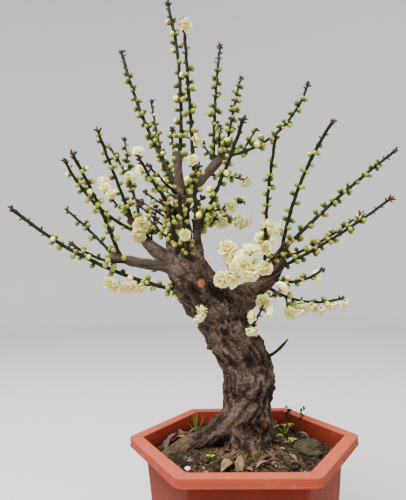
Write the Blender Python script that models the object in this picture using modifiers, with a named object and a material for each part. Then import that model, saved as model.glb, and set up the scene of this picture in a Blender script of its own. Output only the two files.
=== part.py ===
# A flowering plum bonsai in a hexagonal plastic pot.
# Metres, +Z up, origin in the middle of the pot's standing face.
import bpy
import bmesh
from math import cos, hypot, radians, sin, sqrt
from mathutils import Matrix, Vector, noise

# Driving dimensions
mm = 0.001
pot_height = 0.180
rim_corner = 0.155          # middle of the pot to a corner of the rim
rim_width = 0.0165          # the rim's flat top, across
rim_plate = 0.0030
lip_drop = 0.0115
lip_wall = 0.0026
throat_drop = 0.0140        # from the rim down to where the wall proper starts
throat_step = 0.0060        # how far the throat closes in by there
pot_wall = 0.0034
pot_floor = 0.0040
pot_draft = 0.108           # a corner comes in by this for each unit of height
corner_round = 0.0080
foot_rise = 0.0022
foot_inner = 0.034
foot_outer = 0.088
drain_radius = 0.0060
drain_circle = 0.060
soil_drop = 0.0205          # soil below the rim at the wall
soil_mound = 0.0110         # and its rise to the trunk
tree_height = 0.600         # soil to the longest shoot's tip
trunk_thickness = 0.066
shoot_thickness = 0.0048
blossom_size = 0.0265
pit_radius = 0.0055         # round the foot of a plant in the soil
pit_depth = 0.0050
foot_lift = 0.0015          # a plant's foot above the floor of its pit
gap = 0.0004                # left between pieces that touch
bark_gap = 0.0007           # the same round the faceted bark
bark_grain = 0.0026         # edge of the bark's facets before they are thinned
bark_lumps = 0.0022
bark_facets = 0.055         # share of the facets that are kept

# Values that follow from them
across = sqrt(3.0) / 2.0    # of a hexagon: middle to side over middle to corner
mouth_corner = rim_corner - rim_width / across
soil_level = pot_height - soil_drop
reach = tree_height / 0.600
girth = trunk_thickness / 0.066
bloom = blossom_size / 0.0265
spread = mouth_corner / 0.136

# The wood's lines: x, y and height above the soil at the wall, then the radius, in
# millimetres at the sizes above. Roots follow the pot's width, the rest the tree's height.
wood = {
    "trunk": [(2, 4, -38, 40), (2, 4, -14, 38), (3, 3, 8, 36.5), (5, 1, 28, 34.5), (5, 0, 45, 32.5),
              (6, 2, 64, 31.5), (10, 4, 94, 33), (8, 4, 117, 33), (-4, 2, 140, 32), (-15, 0, 156, 31.5),
              (-24, -2, 177, 30.5), (-28, -2, 194, 31)],
    "left_limb": [(-26, -2, 184, 30), (-37, -4, 200, 31.5), (-48, -6, 213, 31.5), (-58, -8, 226, 31),
                  (-68, -8, 243, 29.5), (-75, -6, 259, 26.5), (-79, -4, 280, 20), (-80, -2, 304, 14.5),
                  (-78, 0, 330, 12), (-77, 0, 356, 10.5)],
    "crown_stub": [(-77, 0, 350, 9), (-81, -4, 372, 6.6), (-81, -8, 391, 6), (-83, -12, 412, 6.2)],
    "slanting_stub": [(-77, 0, 336, 9), (-59, 12, 365, 7.6), (-34, 24, 395, 7), (-10, 36, 422, 6.8)],
    "inner_stub": [(-52, -6, 243, 10), (-54, -12, 270, 6.8), (-56, -16, 291, 6.2), (-56, -20, 316, 7)],
    "level_stub": [(-82, -8, 247, 12), (-106, -16, 252, 7.8), (-133, -26, 257, 7), (-171, -40, 266, 6.4)],
    "side_limb": [(-84, 0, 254, 14), (-114, 14, 273, 9), (-132, 22, 291, 8.2), (-147, 30, 312, 7.2),
                  (-157, 36, 325, 7.6)],
    "right_limb": [(-18, 0, 186, 26), (4, 8, 202, 20), (19, 16, 214, 15.5), (34, 24, 225, 13.2),
                   (49, 32, 237, 12.2), (59, 38, 252, 11.4), (65, 42, 267, 9), (72, 45, 279, 6)],
    "bare_spur": [(6, 0, 205, 12), (12, -6, 203, 5), (20, -12, 200, 3.2)],
}
roots = {
    "root_left": [(0, -4, 58, 20), (-24, -12, 38, 16.5), (-40, -12, 27, 14), (-60, -10, 17, 12.5),
                  (-81, -11, 10, 11), (-98, -13, 2, 9.5), (-109, -14, -11, 6)],
    "root_front": [(4, -12, 26, 16), (8, -30, 11, 12), (11, -46, 2, 8), (13, -60, -10, 4.5)],
    "root_right": [(10, 4, 26, 16), (34, 10, 9, 11), (54, 14, 0, 7.5), (70, 17, -12, 5)],
    "root_back": [(0, 16, 30, 15), (-10, 42, 11, 11), (-20, 62, 2, 7.5), (-28, 78, -11, 5)],
}

# Each shoot: the limb it grows on, how far along that it starts, the heading and climb of its
# tip in degrees, its length and its sag in millimetres, and its thickness beside the usual one.
shoots = {
    "shoot_left_1": ("left_limb", 0.18, -165, 25, 278, 20, 1.15),
    "shoot_left_2": ("level_stub", 0.65, -147, 15, 87, 9, 0.85),
    "shoot_left_3": ("level_stub", 0.84, -118, 55, 150, -4, 1.0),
    "shoot_left_4": ("level_stub", 0.92, 167, 43, 99, -2, 0.85),
    "shoot_left_5": ("side_limb", 0.70, -150, 42, 148, 15, 1.0),
    "shoot_side_1": ("side_limb", 0.91, -135, 65, 143, 1, 1.05),
    "shoot_side_2": ("side_limb", 0.98, 145, 43, 81, 2, 0.8),
    "shoot_side_3": ("side_limb", 0.66, 136, 59, 184, -15, 0.95),
    "shoot_side_4": ("left_limb", 0.80, -114, 32, 122, 5, 0.9),
    "shoot_side_5": ("left_limb", 0.95, -122, 26, 79, 1, 0.75),
    "shoot_crown_1": ("left_limb", 0.99, 145, 64, 275, 11, 1.15),
    "shoot_crown_2": ("left_limb", 0.93, 112, 51, 274, 20, 1.0),
    "shoot_crown_3": ("crown_stub", 0.86, 104, 53, 68, 12, 0.75),
    "shoot_crown_4": ("crown_stub", 0.54, 150, 87, 252, -13, 1.1),
    "shoot_crown_5": ("inner_stub", 0.93, -108, 83, 269, -3, 1.1),
    "shoot_crown_6": ("slanting_stub", 0.70, 77, 73, 228, -10, 1.0),
    "shoot_crown_7": ("slanting_stub", 0.95, 76, 52, 226, -4, 0.95),
    "shoot_crown_8": ("inner_stub", 0.78, -59, 44, 168, 7, 1.05),
    "shoot_crown_9": ("slanting_stub", 0.82, -86, 44, 55, -8, 0.7),
    "shoot_crown_10": ("slanting_stub", 0.89, 12, 41, 184, 26, 1.0),
    "shoot_right_1": ("right_limb", 0.54, -80, 68, 205, -18, 1.0),
    "shoot_right_2": ("right_limb", 0.89, -47, 61, 200, -14, 1.15),
    "shoot_right_3": ("right_limb", 0.97, 19, 38, 263, -4, 1.15),
    "shoot_right_4": ("right_limb", 0.70, 8, 30, 215, 5, 1.05),
    "shoot_right_5": ("right_limb", 0.83, 33, 24, 200, 7, 0.9),
    "shoot_right_6": ("right_limb", 0.60, -38, 6, 84, 11, 0.9),
    "shoot_right_7": ("right_limb", 0.50, 16, -11, 129, 15, 0.9),
    "shoot_low_1": ("trunk", 0.78, -56, 39, 80, 6, 0.7),
    "shoot_low_2": ("bare_spur", 0.90, -10, 20, 34, 2, 0.6),
    "shoot_low_3": ("trunk", 0.64, -25, 30, 66, 6, 0.95),
    "shoot_low_4": ("trunk", 0.99, -136, -2, 47, 1, 0.7),
    "shoot_front_1": ("left_limb", 0.49, -105, 50, 79, 6, 0.85),
    "shoot_front_2": ("left_limb", 0.31, -101, 58, 128, 5, 0.9),
    "shoot_front_3": ("left_limb", 0.22, -41, 24, 90, 0, 0.9),
    "shoot_inner_1": ("inner_stub", 0.94, 49, 20, 112, -4, 0.75),
    "shoot_inner_2": ("inner_stub", 0.82, 59, 10, 128, -8, 0.75),
    "shoot_inner_3": ("slanting_stub", 0.55, 45, 2, 86, -2, 0.75),
}
# Side shoots that grew from a shoot and are one piece with it, laid out the same way.
side_shoots = {
    "shoot_left_1": ("spur_left", 0.27, -155, 2, 62, 3, 0.75),
    "shoot_side_3": ("spur_side", 0.42, 112, 57, 118, 0, 0.7),
    "shoot_crown_10": ("spur_crown", 0.16, 50, 49, 58, 0, 0.7),
}

# Blossoms by node: the shoot, how far along it, the heading and climb that the blossom faces,
# and its size beside the usual one. Those of one node have grown into each other's petals.
blossoms = {
    "blossom_top": [("shoot_crown_5", 0.96, -70, 10, 0.8)],
    "blossom_crown": [("shoot_crown_5", 0.41, -35, 10, 0.8)],
    "blossom_left_double": [("shoot_side_3", 0.12, -40, -15, 1.1)],
    "blossoms_left": [("shoot_side_2", 0.72, -60, 10, 0.85), ("shoot_side_2", 0.93, -110, 40, 0.85)],
    "blossoms_left_low": [("spur_left", 0.62, -70, -25, 0.75), ("spur_left", 0.80, -100, -10, 0.75),
                          ("spur_left", 0.95, -120, 10, 0.75)],
    "blossoms_centre": [("shoot_front_3", 0.98, -95, 45, 1.1), ("shoot_front_3", 0.86, -120, -20, 1.1),
                        ("shoot_front_3", 0.99, 0, -10, 1.05), ("shoot_front_3", 0.80, -60, -80, 0.95)],
    "blossoms_centre_back": [("shoot_right_1", 0.29, 0, 10, 0.9), ("shoot_right_1", 0.32, 70, 10, 0.9),
                             ("shoot_right_1", 0.28, 140, 0, 0.9)],
    "blossoms_inner": [("shoot_inner_2", 0.80, -60, -20, 0.9), ("shoot_inner_2", 0.94, 20, -30, 0.9)],
    "blossom_inner_tip": [("shoot_inner_3", 0.92, -40, -50, 0.8)],
    "blossoms_right_low": [("shoot_right_7", 0.47, -60, -60, 0.85), ("shoot_right_7", 0.58, -100, -40, 0.85)],
    "blossoms_right_tip": [("shoot_right_7", 0.84, -60, -60, 0.8), ("shoot_right_7", 0.97, -20, -40, 0.8)],
    "blossom_low": [("shoot_low_1", 0.80, -160, 10, 0.75)],
    "blossoms_trunk": [("shoot_low_4", 0.90, -110, -25, 0.8), ("shoot_low_4", 0.84, -70, 30, 0.85)],
}

colours = {
    "pot_plastic": ((0.52, 0.115, 0.055), 0.45),
    "soil": ((0.075, 0.055, 0.04), 0.95),
    "bark": ((0.085, 0.058, 0.045), 0.85),
    "green_stem": ((0.045, 0.075, 0.03), 0.55),
    "petal": ((0.84, 0.82, 0.62), 0.6),
    "moss": ((0.11, 0.12, 0.055), 0.95),
    "dry_leaf": ((0.30, 0.20, 0.11), 0.7),
    "pebble": ((0.75, 0.74, 0.70), 0.6),
    "grass": ((0.22, 0.30, 0.07), 0.6),
}


def clear_scene():
    for thing in list(bpy.data.objects):
        bpy.data.objects.remove(thing, do_unlink=True)


def new_collection(name):
    collection = bpy.data.collections.new(name)
    bpy.context.scene.collection.children.link(collection)
    return collection


clear_scene()
plant = new_collection("plum_bonsai")
cutters = new_collection("cutters")
pockets = new_collection("soil_pockets")


def make_material(name):
    colour, roughness = colours[name]
    material = bpy.data.materials.new(name)
    material.use_nodes = True
    shader = material.node_tree.nodes["Principled BSDF"]
    shader.inputs["Base Color"].default_value = (*colour, 1.0)
    shader.inputs["Roughness"].default_value = roughness
    shader.inputs["Metallic"].default_value = 0.0
    return material


materials = {name: make_material(name) for name in colours}


def add_part(name, mesh, material):
    thing = bpy.data.objects.new(name, mesh)
    mesh.materials.clear()
    mesh.materials.append(materials[material])
    plant.objects.link(thing)
    return thing


def add_cutter(name, mesh, collection=cutters):
    thing = bpy.data.objects.new(name, mesh)
    thing.hide_render = True
    thing.display_type = "WIRE"
    collection.objects.link(thing)
    return thing


def combine(thing, operation, other):
    modifier = thing.modifiers.new(operation.lower(), "BOOLEAN")
    modifier.operation = operation
    modifier.object = other


def evaluated_mesh(thing):
    graph = bpy.context.evaluated_depsgraph_get()
    mesh = bpy.data.meshes.new_from_object(thing.evaluated_get(graph))
    mesh.transform(thing.matrix_world)
    return mesh


def clearance_of(thing, collection=cutters):
    """A cutter that is larger than the thing by the gap, all round."""
    cutter = add_cutter(thing.name + "_clearance", evaluated_mesh(thing), collection)
    swell = cutter.modifiers.new("swell", "DISPLACE")
    swell.strength = gap
    swell.mid_level = 0.0
    return cutter


def mesh_from(shape, name):
    mesh = bpy.data.meshes.new(name)
    shape.to_mesh(mesh)
    shape.free()
    return mesh


# --- The pot ---

def body_corner(height):
    """Middle to corner of the pot's outside wall, sharp, at a height."""
    fall = pot_height - throat_drop - height
    return mouth_corner - throat_step + pot_wall / across - fall * pot_draft


def hexagon_block(name, low, low_corner, high, high_corner, rounding):
    """A six-sided block with its corners on the X axis and its upright edges rounded."""
    shape = bmesh.new()
    turn = Matrix.Translation((0, 0, (low + high) / 2)) @ Matrix.Rotation(radians(30), 4, "Z")
    bmesh.ops.create_cone(shape, cap_ends=True, segments=6, radius1=low_corner, radius2=high_corner,
                          depth=high - low, matrix=turn)
    upright = [edge for edge in shape.edges
               if abs(edge.verts[0].co.z - edge.verts[1].co.z) > (high - low) / 2]
    bmesh.ops.bevel(shape, geom=upright, offset=rounding, segments=3, profile=0.5, affect="EDGES")
    return mesh_from(shape, name)


def make_pot():
    rim_low = pot_height - lip_drop
    pot = add_part("pot", hexagon_block("pot", rim_low, rim_corner, pot_height, rim_corner,
                                        corner_round * 1.4), "pot_plastic")
    soften = pot.modifiers.new("soften", "BEVEL")
    soften.width = 0.0010
    soften.segments = 2
    soften.limit_method = "ANGLE"
    soften.angle_limit = radians(60)
    skirt_corner = rim_corner - lip_wall / across
    groove = add_cutter("lip_groove", hexagon_block("lip_groove", rim_low - 0.01, skirt_corner,
                                                    pot_height - rim_plate, skirt_corner, corner_round))
    body_top = pot_height - rim_plate / 2
    body = add_cutter("pot_body", hexagon_block("pot_body", 0.0, body_corner(0.0), body_top,
                                                body_corner(body_top), corner_round))
    throat = add_cutter("throat", hexagon_block("throat", pot_height - throat_drop,
                                                mouth_corner - throat_step, pot_height + 0.01,
                                                mouth_corner + throat_step * 0.01 / throat_drop,
                                                corner_round))
    hollow_low = pot_floor + foot_rise
    hollow_high = pot_height - throat_drop + 0.002
    hollow = add_cutter("hollow", hexagon_block("hollow", hollow_low, soil_corner(hollow_low) + gap,
                                                hollow_high, soil_corner(hollow_high) + gap,
                                                corner_round - 0.001))
    combine(pot, "DIFFERENCE", groove)
    combine(pot, "UNION", body)
    combine(pot, "DIFFERENCE", hollow)
    combine(pot, "DIFFERENCE", throat)
    combine(pot, "DIFFERENCE", foot_recess())
    for number in range(6):
        combine(pot, "DIFFERENCE", drain_cutter(number))
    return pot


def foot_recess():
    """The sunk ring between the middle pad and the standing ring under the pot."""
    shape = bmesh.new()
    bmesh.ops.create_cone(shape, cap_ends=True, segments=36, radius1=foot_outer * spread,
                          radius2=foot_outer * spread - 0.001, depth=foot_rise * 2)
    ring = add_cutter("foot_recess", mesh_from(shape, "foot_recess"))
    shape = bmesh.new()
    bmesh.ops.create_cone(shape, cap_ends=True, segments=24, radius1=foot_inner, radius2=foot_inner,
                          depth=foot_rise * 6)
    combine(ring, "DIFFERENCE", add_cutter("foot_pad", mesh_from(shape, "foot_pad")))
    return ring


def drain_cutter(number):
    shape = bmesh.new()
    bmesh.ops.create_cone(shape, cap_ends=True, segments=16, radius1=drain_radius,
                          radius2=drain_radius, depth=(pot_floor + foot_rise) * 4)
    angle = radians(60 * number + 30)
    place = Vector((cos(angle), sin(angle), 0)) * drain_circle * spread
    bmesh.ops.translate(shape, verts=shape.verts, vec=place)
    return add_cutter(f"drain_{number + 1}", mesh_from(shape, f"drain_{number + 1}"))


# --- The wood ---

def smooth_route(points, steps):
    """Points on a smooth curve through the given ones, radius included."""
    ends = [points[0]] + list(points) + [points[-1]]
    route = []
    for before, start, finish, after in zip(ends, ends[1:], ends[2:], ends[3:]):
        for step in range(steps):
            t = step / steps
            route.append([0.5 * (2 * b + (c - a) * t + (2 * a - 5 * b + 4 * c - d) * t * t
                                 + (3 * b - a - 3 * c + d) * t ** 3)
                          for a, b, c, d in zip(before, start, finish, after)])
    return route + [list(points[-1])]


def tube_mesh(name, route, fineness):
    """A round, capped tube along points that each hold x, y, z and a radius."""
    curve = bpy.data.curves.new(name, "CURVE")
    curve.dimensions = "3D"
    curve.bevel_depth = 1.0
    curve.bevel_resolution = fineness
    curve.use_fill_caps = True
    spline = curve.splines.new("POLY")
    spline.points.add(len(route) - 1)
    for point, (x, y, z, radius) in zip(spline.points, route):
        point.co = (x, y, z, 1.0)
        point.radius = radius
    guide = bpy.data.objects.new(name, curve)
    bpy.context.scene.collection.objects.link(guide)
    mesh = evaluated_mesh(guide)
    bpy.data.objects.remove(guide, do_unlink=True)
    shape = bmesh.new()
    shape.from_mesh(mesh)
    bmesh.ops.remove_doubles(shape, verts=shape.verts, dist=1e-6)
    shape.to_mesh(mesh)
    shape.free()
    return mesh


def limb_points(name):
    """A limb's line in metres, in the pot's frame."""
    if name in roots:
        return [(x * mm * spread, y * mm * spread, soil_level + z * mm, radius * mm * girth)
                for x, y, z, radius in roots[name]]
    return [(x * mm * reach, y * mm * reach, soil_level + z * mm * (reach if z > 0 else 1),
             radius * mm * girth) for x, y, z, radius in wood[name]]


def point_along(route, share):
    """The place and direction at a share of the way along a line."""
    spots = [Vector(point[:3]) for point in route]
    lengths = [(b - a).length for a, b in zip(spots, spots[1:])]
    left = share * sum(lengths)
    for a, b, length in zip(spots, spots[1:], lengths):
        if left <= length:
            return a.lerp(b, left / length), (b - a).normalized()
        left -= length
    return spots[-1], (spots[-1] - spots[-2]).normalized()


def make_trunk():
    shape = bmesh.new()
    for name in list(wood) + list(roots):
        fineness = 4 if name in ("trunk", "left_limb") else 3
        shape.from_mesh(tube_mesh(name, smooth_route(limb_points(name), 3), fineness))
    raw = add_cutter("wood_tubes", mesh_from(shape, "wood_tubes"))
    fuse = raw.modifiers.new("fuse", "REMESH")
    fuse.mode = "VOXEL"
    fuse.voxel_size = bark_grain * girth
    smooth = raw.modifiers.new("smooth", "SMOOTH")
    smooth.factor = 0.5
    smooth.iterations = 4
    mesh = evaluated_mesh(raw)
    bpy.data.objects.remove(raw, do_unlink=True)
    trunk = add_part("trunk", mesh, "bark")
    for vertex in mesh.vertices:
        lump = noise.noise(vertex.co * 45) * 0.7 + noise.noise(vertex.co * 110) * 0.3
        vertex.co += vertex.normal * lump * bark_lumps * girth
    thin = trunk.modifiers.new("thin", "DECIMATE")
    thin.ratio = bark_facets
    trunk.data = evaluated_mesh(trunk)
    trunk.modifiers.clear()
    return trunk


# --- The shoots ---

lines = {}


def shoot_line(name, start, row):
    """Points from the middle of the limb out to the tip, curving up by the sag."""
    heading, climb, length, sag, thickness = row
    heading = radians(heading)
    climb = radians(climb)
    chord = Vector((cos(climb) * cos(heading), cos(climb) * sin(heading), sin(climb)))
    down = (chord * chord.z - Vector((0, 0, 1))).normalized()
    route = []
    pieces = max(5, round(length / 30))
    for step in range(pieces + 1):
        t = step / pieces
        place = start + (chord * length * t + down * sag * 4 * t * (1 - t)) * mm * reach
        radius = shoot_thickness / 2 * thickness * (1 - 0.55 * t)
        route.append((*place, radius))
    lines[name] = route
    return route


def make_shoot(name, bark_clearance):
    limb, along, *row = shoots[name]
    start, _ = point_along(limb_points(limb), along)
    shoot = add_part(name, tube_mesh(name, shoot_line(name, start, row), 1), "green_stem")
    if name in side_shoots:
        spur, along, *row = side_shoots[name]
        start, _ = point_along(lines[name], along)
        side = add_cutter(spur, tube_mesh(spur, shoot_line(spur, start, row), 1))
        combine(shoot, "UNION", side)
    combine(shoot, "DIFFERENCE", bark_clearance)
    return shoot


# --- The blossoms ---

def blossom_mesh():
    """A double blossom on a short stalk, turned about +Z, with its rim drawn into lobes."""
    half = blossom_size / 2
    profile = [(0.0, 0.0100), (half * 0.42, 0.0118), (half * 0.86, 0.0122), (half, 0.0098),
               (half * 0.72, 0.0066), (0.0030, 0.0042), (0.0011, 0.0022), (0.0011, 0.0), (0.0, 0.0)]
    shape = bmesh.new()
    spots = [shape.verts.new((radius, 0, height)) for radius, height in profile]
    for a, b in zip(spots, spots[1:]):
        shape.edges.new((a, b))
    turned = add_cutter("turned_blossom", mesh_from(shape, "turned_blossom"))
    screw = turned.modifiers.new("turn", "SCREW")
    screw.steps = 10
    screw.render_steps = 10
    screw.use_merge_vertices = True
    screw.merge_threshold = 0.0001
    mesh = evaluated_mesh(turned)
    bpy.data.objects.remove(turned, do_unlink=True)
    for vertex in mesh.vertices:
        distance = hypot(vertex.co.x, vertex.co.y)
        if distance > half * 0.5:
            angle = Vector((1, 0)).angle_signed(vertex.co.xy)
            draw_in = 1 - 0.05 * (1 - cos(5 * angle))
            vertex.co.x *= draw_in
            vertex.co.y *= draw_in
    return mesh


def place_blossom(mesh, shoot, along, heading, climb, size):
    """A copy of the blossom, its stalk square to the shoot and its foot a gap from it."""
    spot, direction = point_along(lines[shoot], along)
    heading = radians(heading)
    climb = radians(climb)
    facing = Vector((cos(climb) * cos(heading), cos(climb) * sin(heading), sin(climb)))
    facing = (facing - direction * facing.dot(direction)).normalized()
    radius = shoot_thickness / 2 * 1.15
    copy = mesh.copy()
    turn = facing.to_track_quat("Z", "Y").to_matrix().to_4x4()
    copy.transform(Matrix.Translation(spot + facing * (radius + gap)) @ turn @ Matrix.Scale(size, 4))
    return copy


def make_blossoms(bark_clearance):
    pattern = blossom_mesh()
    for name, members in blossoms.items():
        shoot, nearest, *rest = members[0]
        first = add_part(name, place_blossom(pattern, shoot, nearest, *rest), "petal")
        for number, (shoot, along, *rest) in enumerate(members[1:]):
            along = nearest + (along - nearest) * bloom / reach
            other = add_cutter(f"{name}_{number + 2}", place_blossom(pattern, shoot, along, *rest))
            combine(first, "UNION", other)
        combine(first, "DIFFERENCE", bark_clearance)


# --- The soil and what lies in it ---

def soil_corner(height):
    """Middle to corner of the soil, a gap inside the pot's wall, at a height."""
    return body_corner(height) - (pot_wall + gap) / across


def soil_top(x, y):
    """Height of the soil's surface."""
    out = min(hypot(x, y) / (mouth_corner * across), 1.0)
    lumps = noise.noise(Vector((x, y, 0.3)) * 28) * 0.0016
    return soil_level + soil_mound * (1 - out * out) + lumps * (1 - out)


def make_soil():
    low = pot_floor + foot_rise + gap
    shape = bmesh.new()
    shape.from_mesh(hexagon_block("soil", low, soil_corner(low), soil_level, soil_corner(soil_level),
                                  corner_round - 0.001))
    top = [face for face in shape.faces if face.normal.z > 0.9]
    rings = 5
    for ring in range(rings):
        middle = bmesh.ops.extrude_face_region(shape, geom=top)["geom"]
        bmesh.ops.delete(shape, geom=top, context="FACES_ONLY")
        top = [item for item in middle if isinstance(item, bmesh.types.BMFace)]
        closer = (rings - ring) / (rings - ring + 1)
        for vertex in top[0].verts:
            vertex.co.x *= closer
            vertex.co.y *= closer
            vertex.co.z = soil_top(vertex.co.x, vertex.co.y)
    middle = bmesh.ops.poke(shape, faces=top)["verts"][0]
    middle.co.z = soil_top(0.0, 0.0)
    bmesh.ops.triangulate(shape, faces=shape.faces)
    soil = add_part("soil", mesh_from(shape, "soil"), "soil")
    for pocket in pockets.objects:
        combine(soil, "DIFFERENCE", pocket)
    return soil


def lump_mesh(name, size, rough, detail):
    """A rough stone-like lump as wide, deep and high as the size says."""
    shape = bmesh.new()
    bmesh.ops.create_icosphere(shape, subdivisions=detail, radius=0.5)
    for vertex in shape.verts:
        vertex.co *= 1 + rough * noise.noise(vertex.co * 3.1)
        vertex.co = Vector((vertex.co.x * size[0], vertex.co.y * size[1], vertex.co.z * size[2]))
    return mesh_from(shape, name)


def on_soil(x, y, above):
    """A place above the soil, its x and y following the pot's width."""
    return Vector((x * spread, y * spread, soil_top(x * spread, y * spread) + above))


def sunk(thing, x, y, turn, above):
    """Beds a thing in the soil, in a pocket of its own shape."""
    thing.data.transform(Matrix.Translation(on_soil(x, y, above)) @ Matrix.Rotation(radians(turn), 4, "Z"))
    clearance_of(thing, pockets)


def planted(thing, x, y):
    """Stands a plant's foot in the soil, in a round pit."""
    place = on_soil(x, y, 0)
    thing.data.transform(Matrix.Translation(place))
    shape = bmesh.new()
    bmesh.ops.create_cone(shape, cap_ends=True, segments=10, radius1=pit_radius, radius2=pit_radius,
                          depth=pit_depth * 4, matrix=Matrix.Translation(place + Vector((0, 0, pit_depth))))
    add_cutter(thing.name + "_pit", mesh_from(shape, thing.name + "_pit"), pockets)


def leaf_mesh(name, length, width, curl, thickness):
    """A thin dry leaf along +X, arched along its length and cupped across."""
    shape = bmesh.new()
    bmesh.ops.create_grid(shape, x_segments=6, y_segments=2, size=0.5)
    for vertex in shape.verts:
        x, y = vertex.co.x, vertex.co.y
        taper = 1 - 0.82 * (2 * x) ** 2
        arch = curl * (1 - (2 * x) ** 2)
        vertex.co = Vector((x * length, y * width * taper, arch + abs(y) * width * 0.35 * taper))
    bmesh.ops.solidify(shape, geom=shape.faces, thickness=thickness)
    return mesh_from(shape, name)


def stalk_mesh(name, stalks):
    """Tapering stalks that fan out of one foot, joined into one piece."""
    foot = None
    for number, (heading, climb, length, radius, sag) in enumerate(stalks):
        direction = (heading, climb, length / reach, sag / reach, 1.0)
        route = shoot_line(f"{name}_{number}", Vector((0, 0, foot_lift - pit_depth)), direction)
        count = len(route) - 1
        route = [(x, y, z, radius * (1.05 - step / count)) for step, (x, y, z, _) in enumerate(route)]
        mesh = tube_mesh(f"{name}_{number}", route, 0)
        if foot is None:
            foot = add_cutter(f"{name}_stalk", mesh)
        else:
            combine(foot, "UNION", add_cutter(f"{name}_{number}", mesh))
    return evaluated_mesh(foot)


def make_soil_things():
    clod = add_part("mossy_clod", lump_mesh("mossy_clod", (0.040, 0.030, 0.024), 0.35, 3), "moss")
    sunk(clod, 0.087, -0.020, 15, 0.004)
    pebble = add_part("pebble", lump_mesh("pebble", (0.0080, 0.0068, 0.0052), 0.15, 2), "pebble")
    sunk(pebble, -0.070, -0.068, 30, 0.0012)
    curled = add_part("curled_leaf", leaf_mesh("curled_leaf", 0.024, 0.011, 0.003, 0.0006), "dry_leaf")
    curled.data.transform(Matrix.Translation(on_soil(-0.022, -0.076, 0.0030)) @
                          Matrix.Rotation(radians(20), 4, "Z"))
    upright = add_part("upright_leaf", leaf_mesh("upright_leaf", 0.022, 0.009, 0.002, 0.0006), "dry_leaf")
    upright.data.transform(Matrix.Rotation(radians(-72), 4, "Y"))
    sunk(upright, -0.006, -0.078, 75, 0.007)
    grass = [(200, 70, 26, 0.0010, 3), (90, 80, 34, 0.0010, 2), (10, 62, 22, 0.0009, 4),
             (300, 66, 24, 0.0009, 4), (140, 56, 20, 0.0008, 4)]
    tuft = add_part("grass_tuft", stalk_mesh("grass_tuft", grass), "grass")
    planted(tuft, -0.066, 0.060)
    sprout = [(40, 58, 16, 0.0009, 2), (160, 50, 15, 0.0009, 2), (280, 64, 18, 0.0009, 1)]
    seedling = add_part("seedling", stalk_mesh("seedling", sprout), "grass")
    planted(seedling, 0.062, 0.040)
    twigs = [(200, 74, 44, 0.0008, 3), (20, 76, 38, 0.0007, 3), (150, 66, 30, 0.0007, 2)]
    sprig = add_part("dried_sprig", stalk_mesh("dried_sprig", twigs), "dry_leaf")
    planted(sprig, 0.080, 0.052)


make_pot()
trunk = make_trunk()
bark_clearance = clearance_of(trunk, pockets)
bark_clearance.modifiers["swell"].strength = bark_gap * girth
for name in shoots:
    make_shoot(name, bark_clearance)
make_blossoms(bark_clearance)
make_soil_things()
make_soil()
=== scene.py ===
# A flowering plum bonsai in a hexagonal pot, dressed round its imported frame. Metres, +Z up.
import bmesh
import bpy
import random
from math import cos, hypot, pi, radians, sin, sqrt
from mathutils import Matrix, Vector, kdtree, noise


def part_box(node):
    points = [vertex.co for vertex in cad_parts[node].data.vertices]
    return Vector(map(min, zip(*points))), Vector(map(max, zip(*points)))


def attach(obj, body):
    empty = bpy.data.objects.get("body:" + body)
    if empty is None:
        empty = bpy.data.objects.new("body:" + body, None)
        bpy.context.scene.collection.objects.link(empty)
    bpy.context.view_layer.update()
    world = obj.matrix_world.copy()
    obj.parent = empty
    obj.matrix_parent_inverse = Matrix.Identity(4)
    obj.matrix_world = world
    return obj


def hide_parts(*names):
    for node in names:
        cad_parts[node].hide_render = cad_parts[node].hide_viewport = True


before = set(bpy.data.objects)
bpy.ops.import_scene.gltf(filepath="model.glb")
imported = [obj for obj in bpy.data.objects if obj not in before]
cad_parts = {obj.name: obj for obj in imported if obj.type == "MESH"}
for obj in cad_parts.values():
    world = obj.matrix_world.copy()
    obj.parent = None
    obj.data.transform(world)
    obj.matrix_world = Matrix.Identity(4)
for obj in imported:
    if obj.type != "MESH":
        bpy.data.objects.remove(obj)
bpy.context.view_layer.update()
print("frame loaded")

mm = 0.001
up = Vector((0, 0, 1))
across = sqrt(3) / 2  # of a hexagon: middle to side over middle to corner
random.seed(11)


class Wire:  # a node's output, so that shader sums read as sums
    def __init__(self, finish, socket):
        self.finish = finish
        self.socket = socket

    def sum(self, operation, first, second):
        return self.finish.node("Math", {"operation": operation}, {0: first, 1: second})

    def __add__(self, other):
        return self.sum("ADD", self, other)

    def __radd__(self, other):
        return self.sum("ADD", other, self)

    def __sub__(self, other):
        return self.sum("SUBTRACT", self, other)

    def __rsub__(self, other):
        return self.sum("SUBTRACT", other, self)

    def __mul__(self, other):
        return self.sum("MULTIPLY", self, other)

    def __rmul__(self, other):
        return self.sum("MULTIPLY", other, self)


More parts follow.
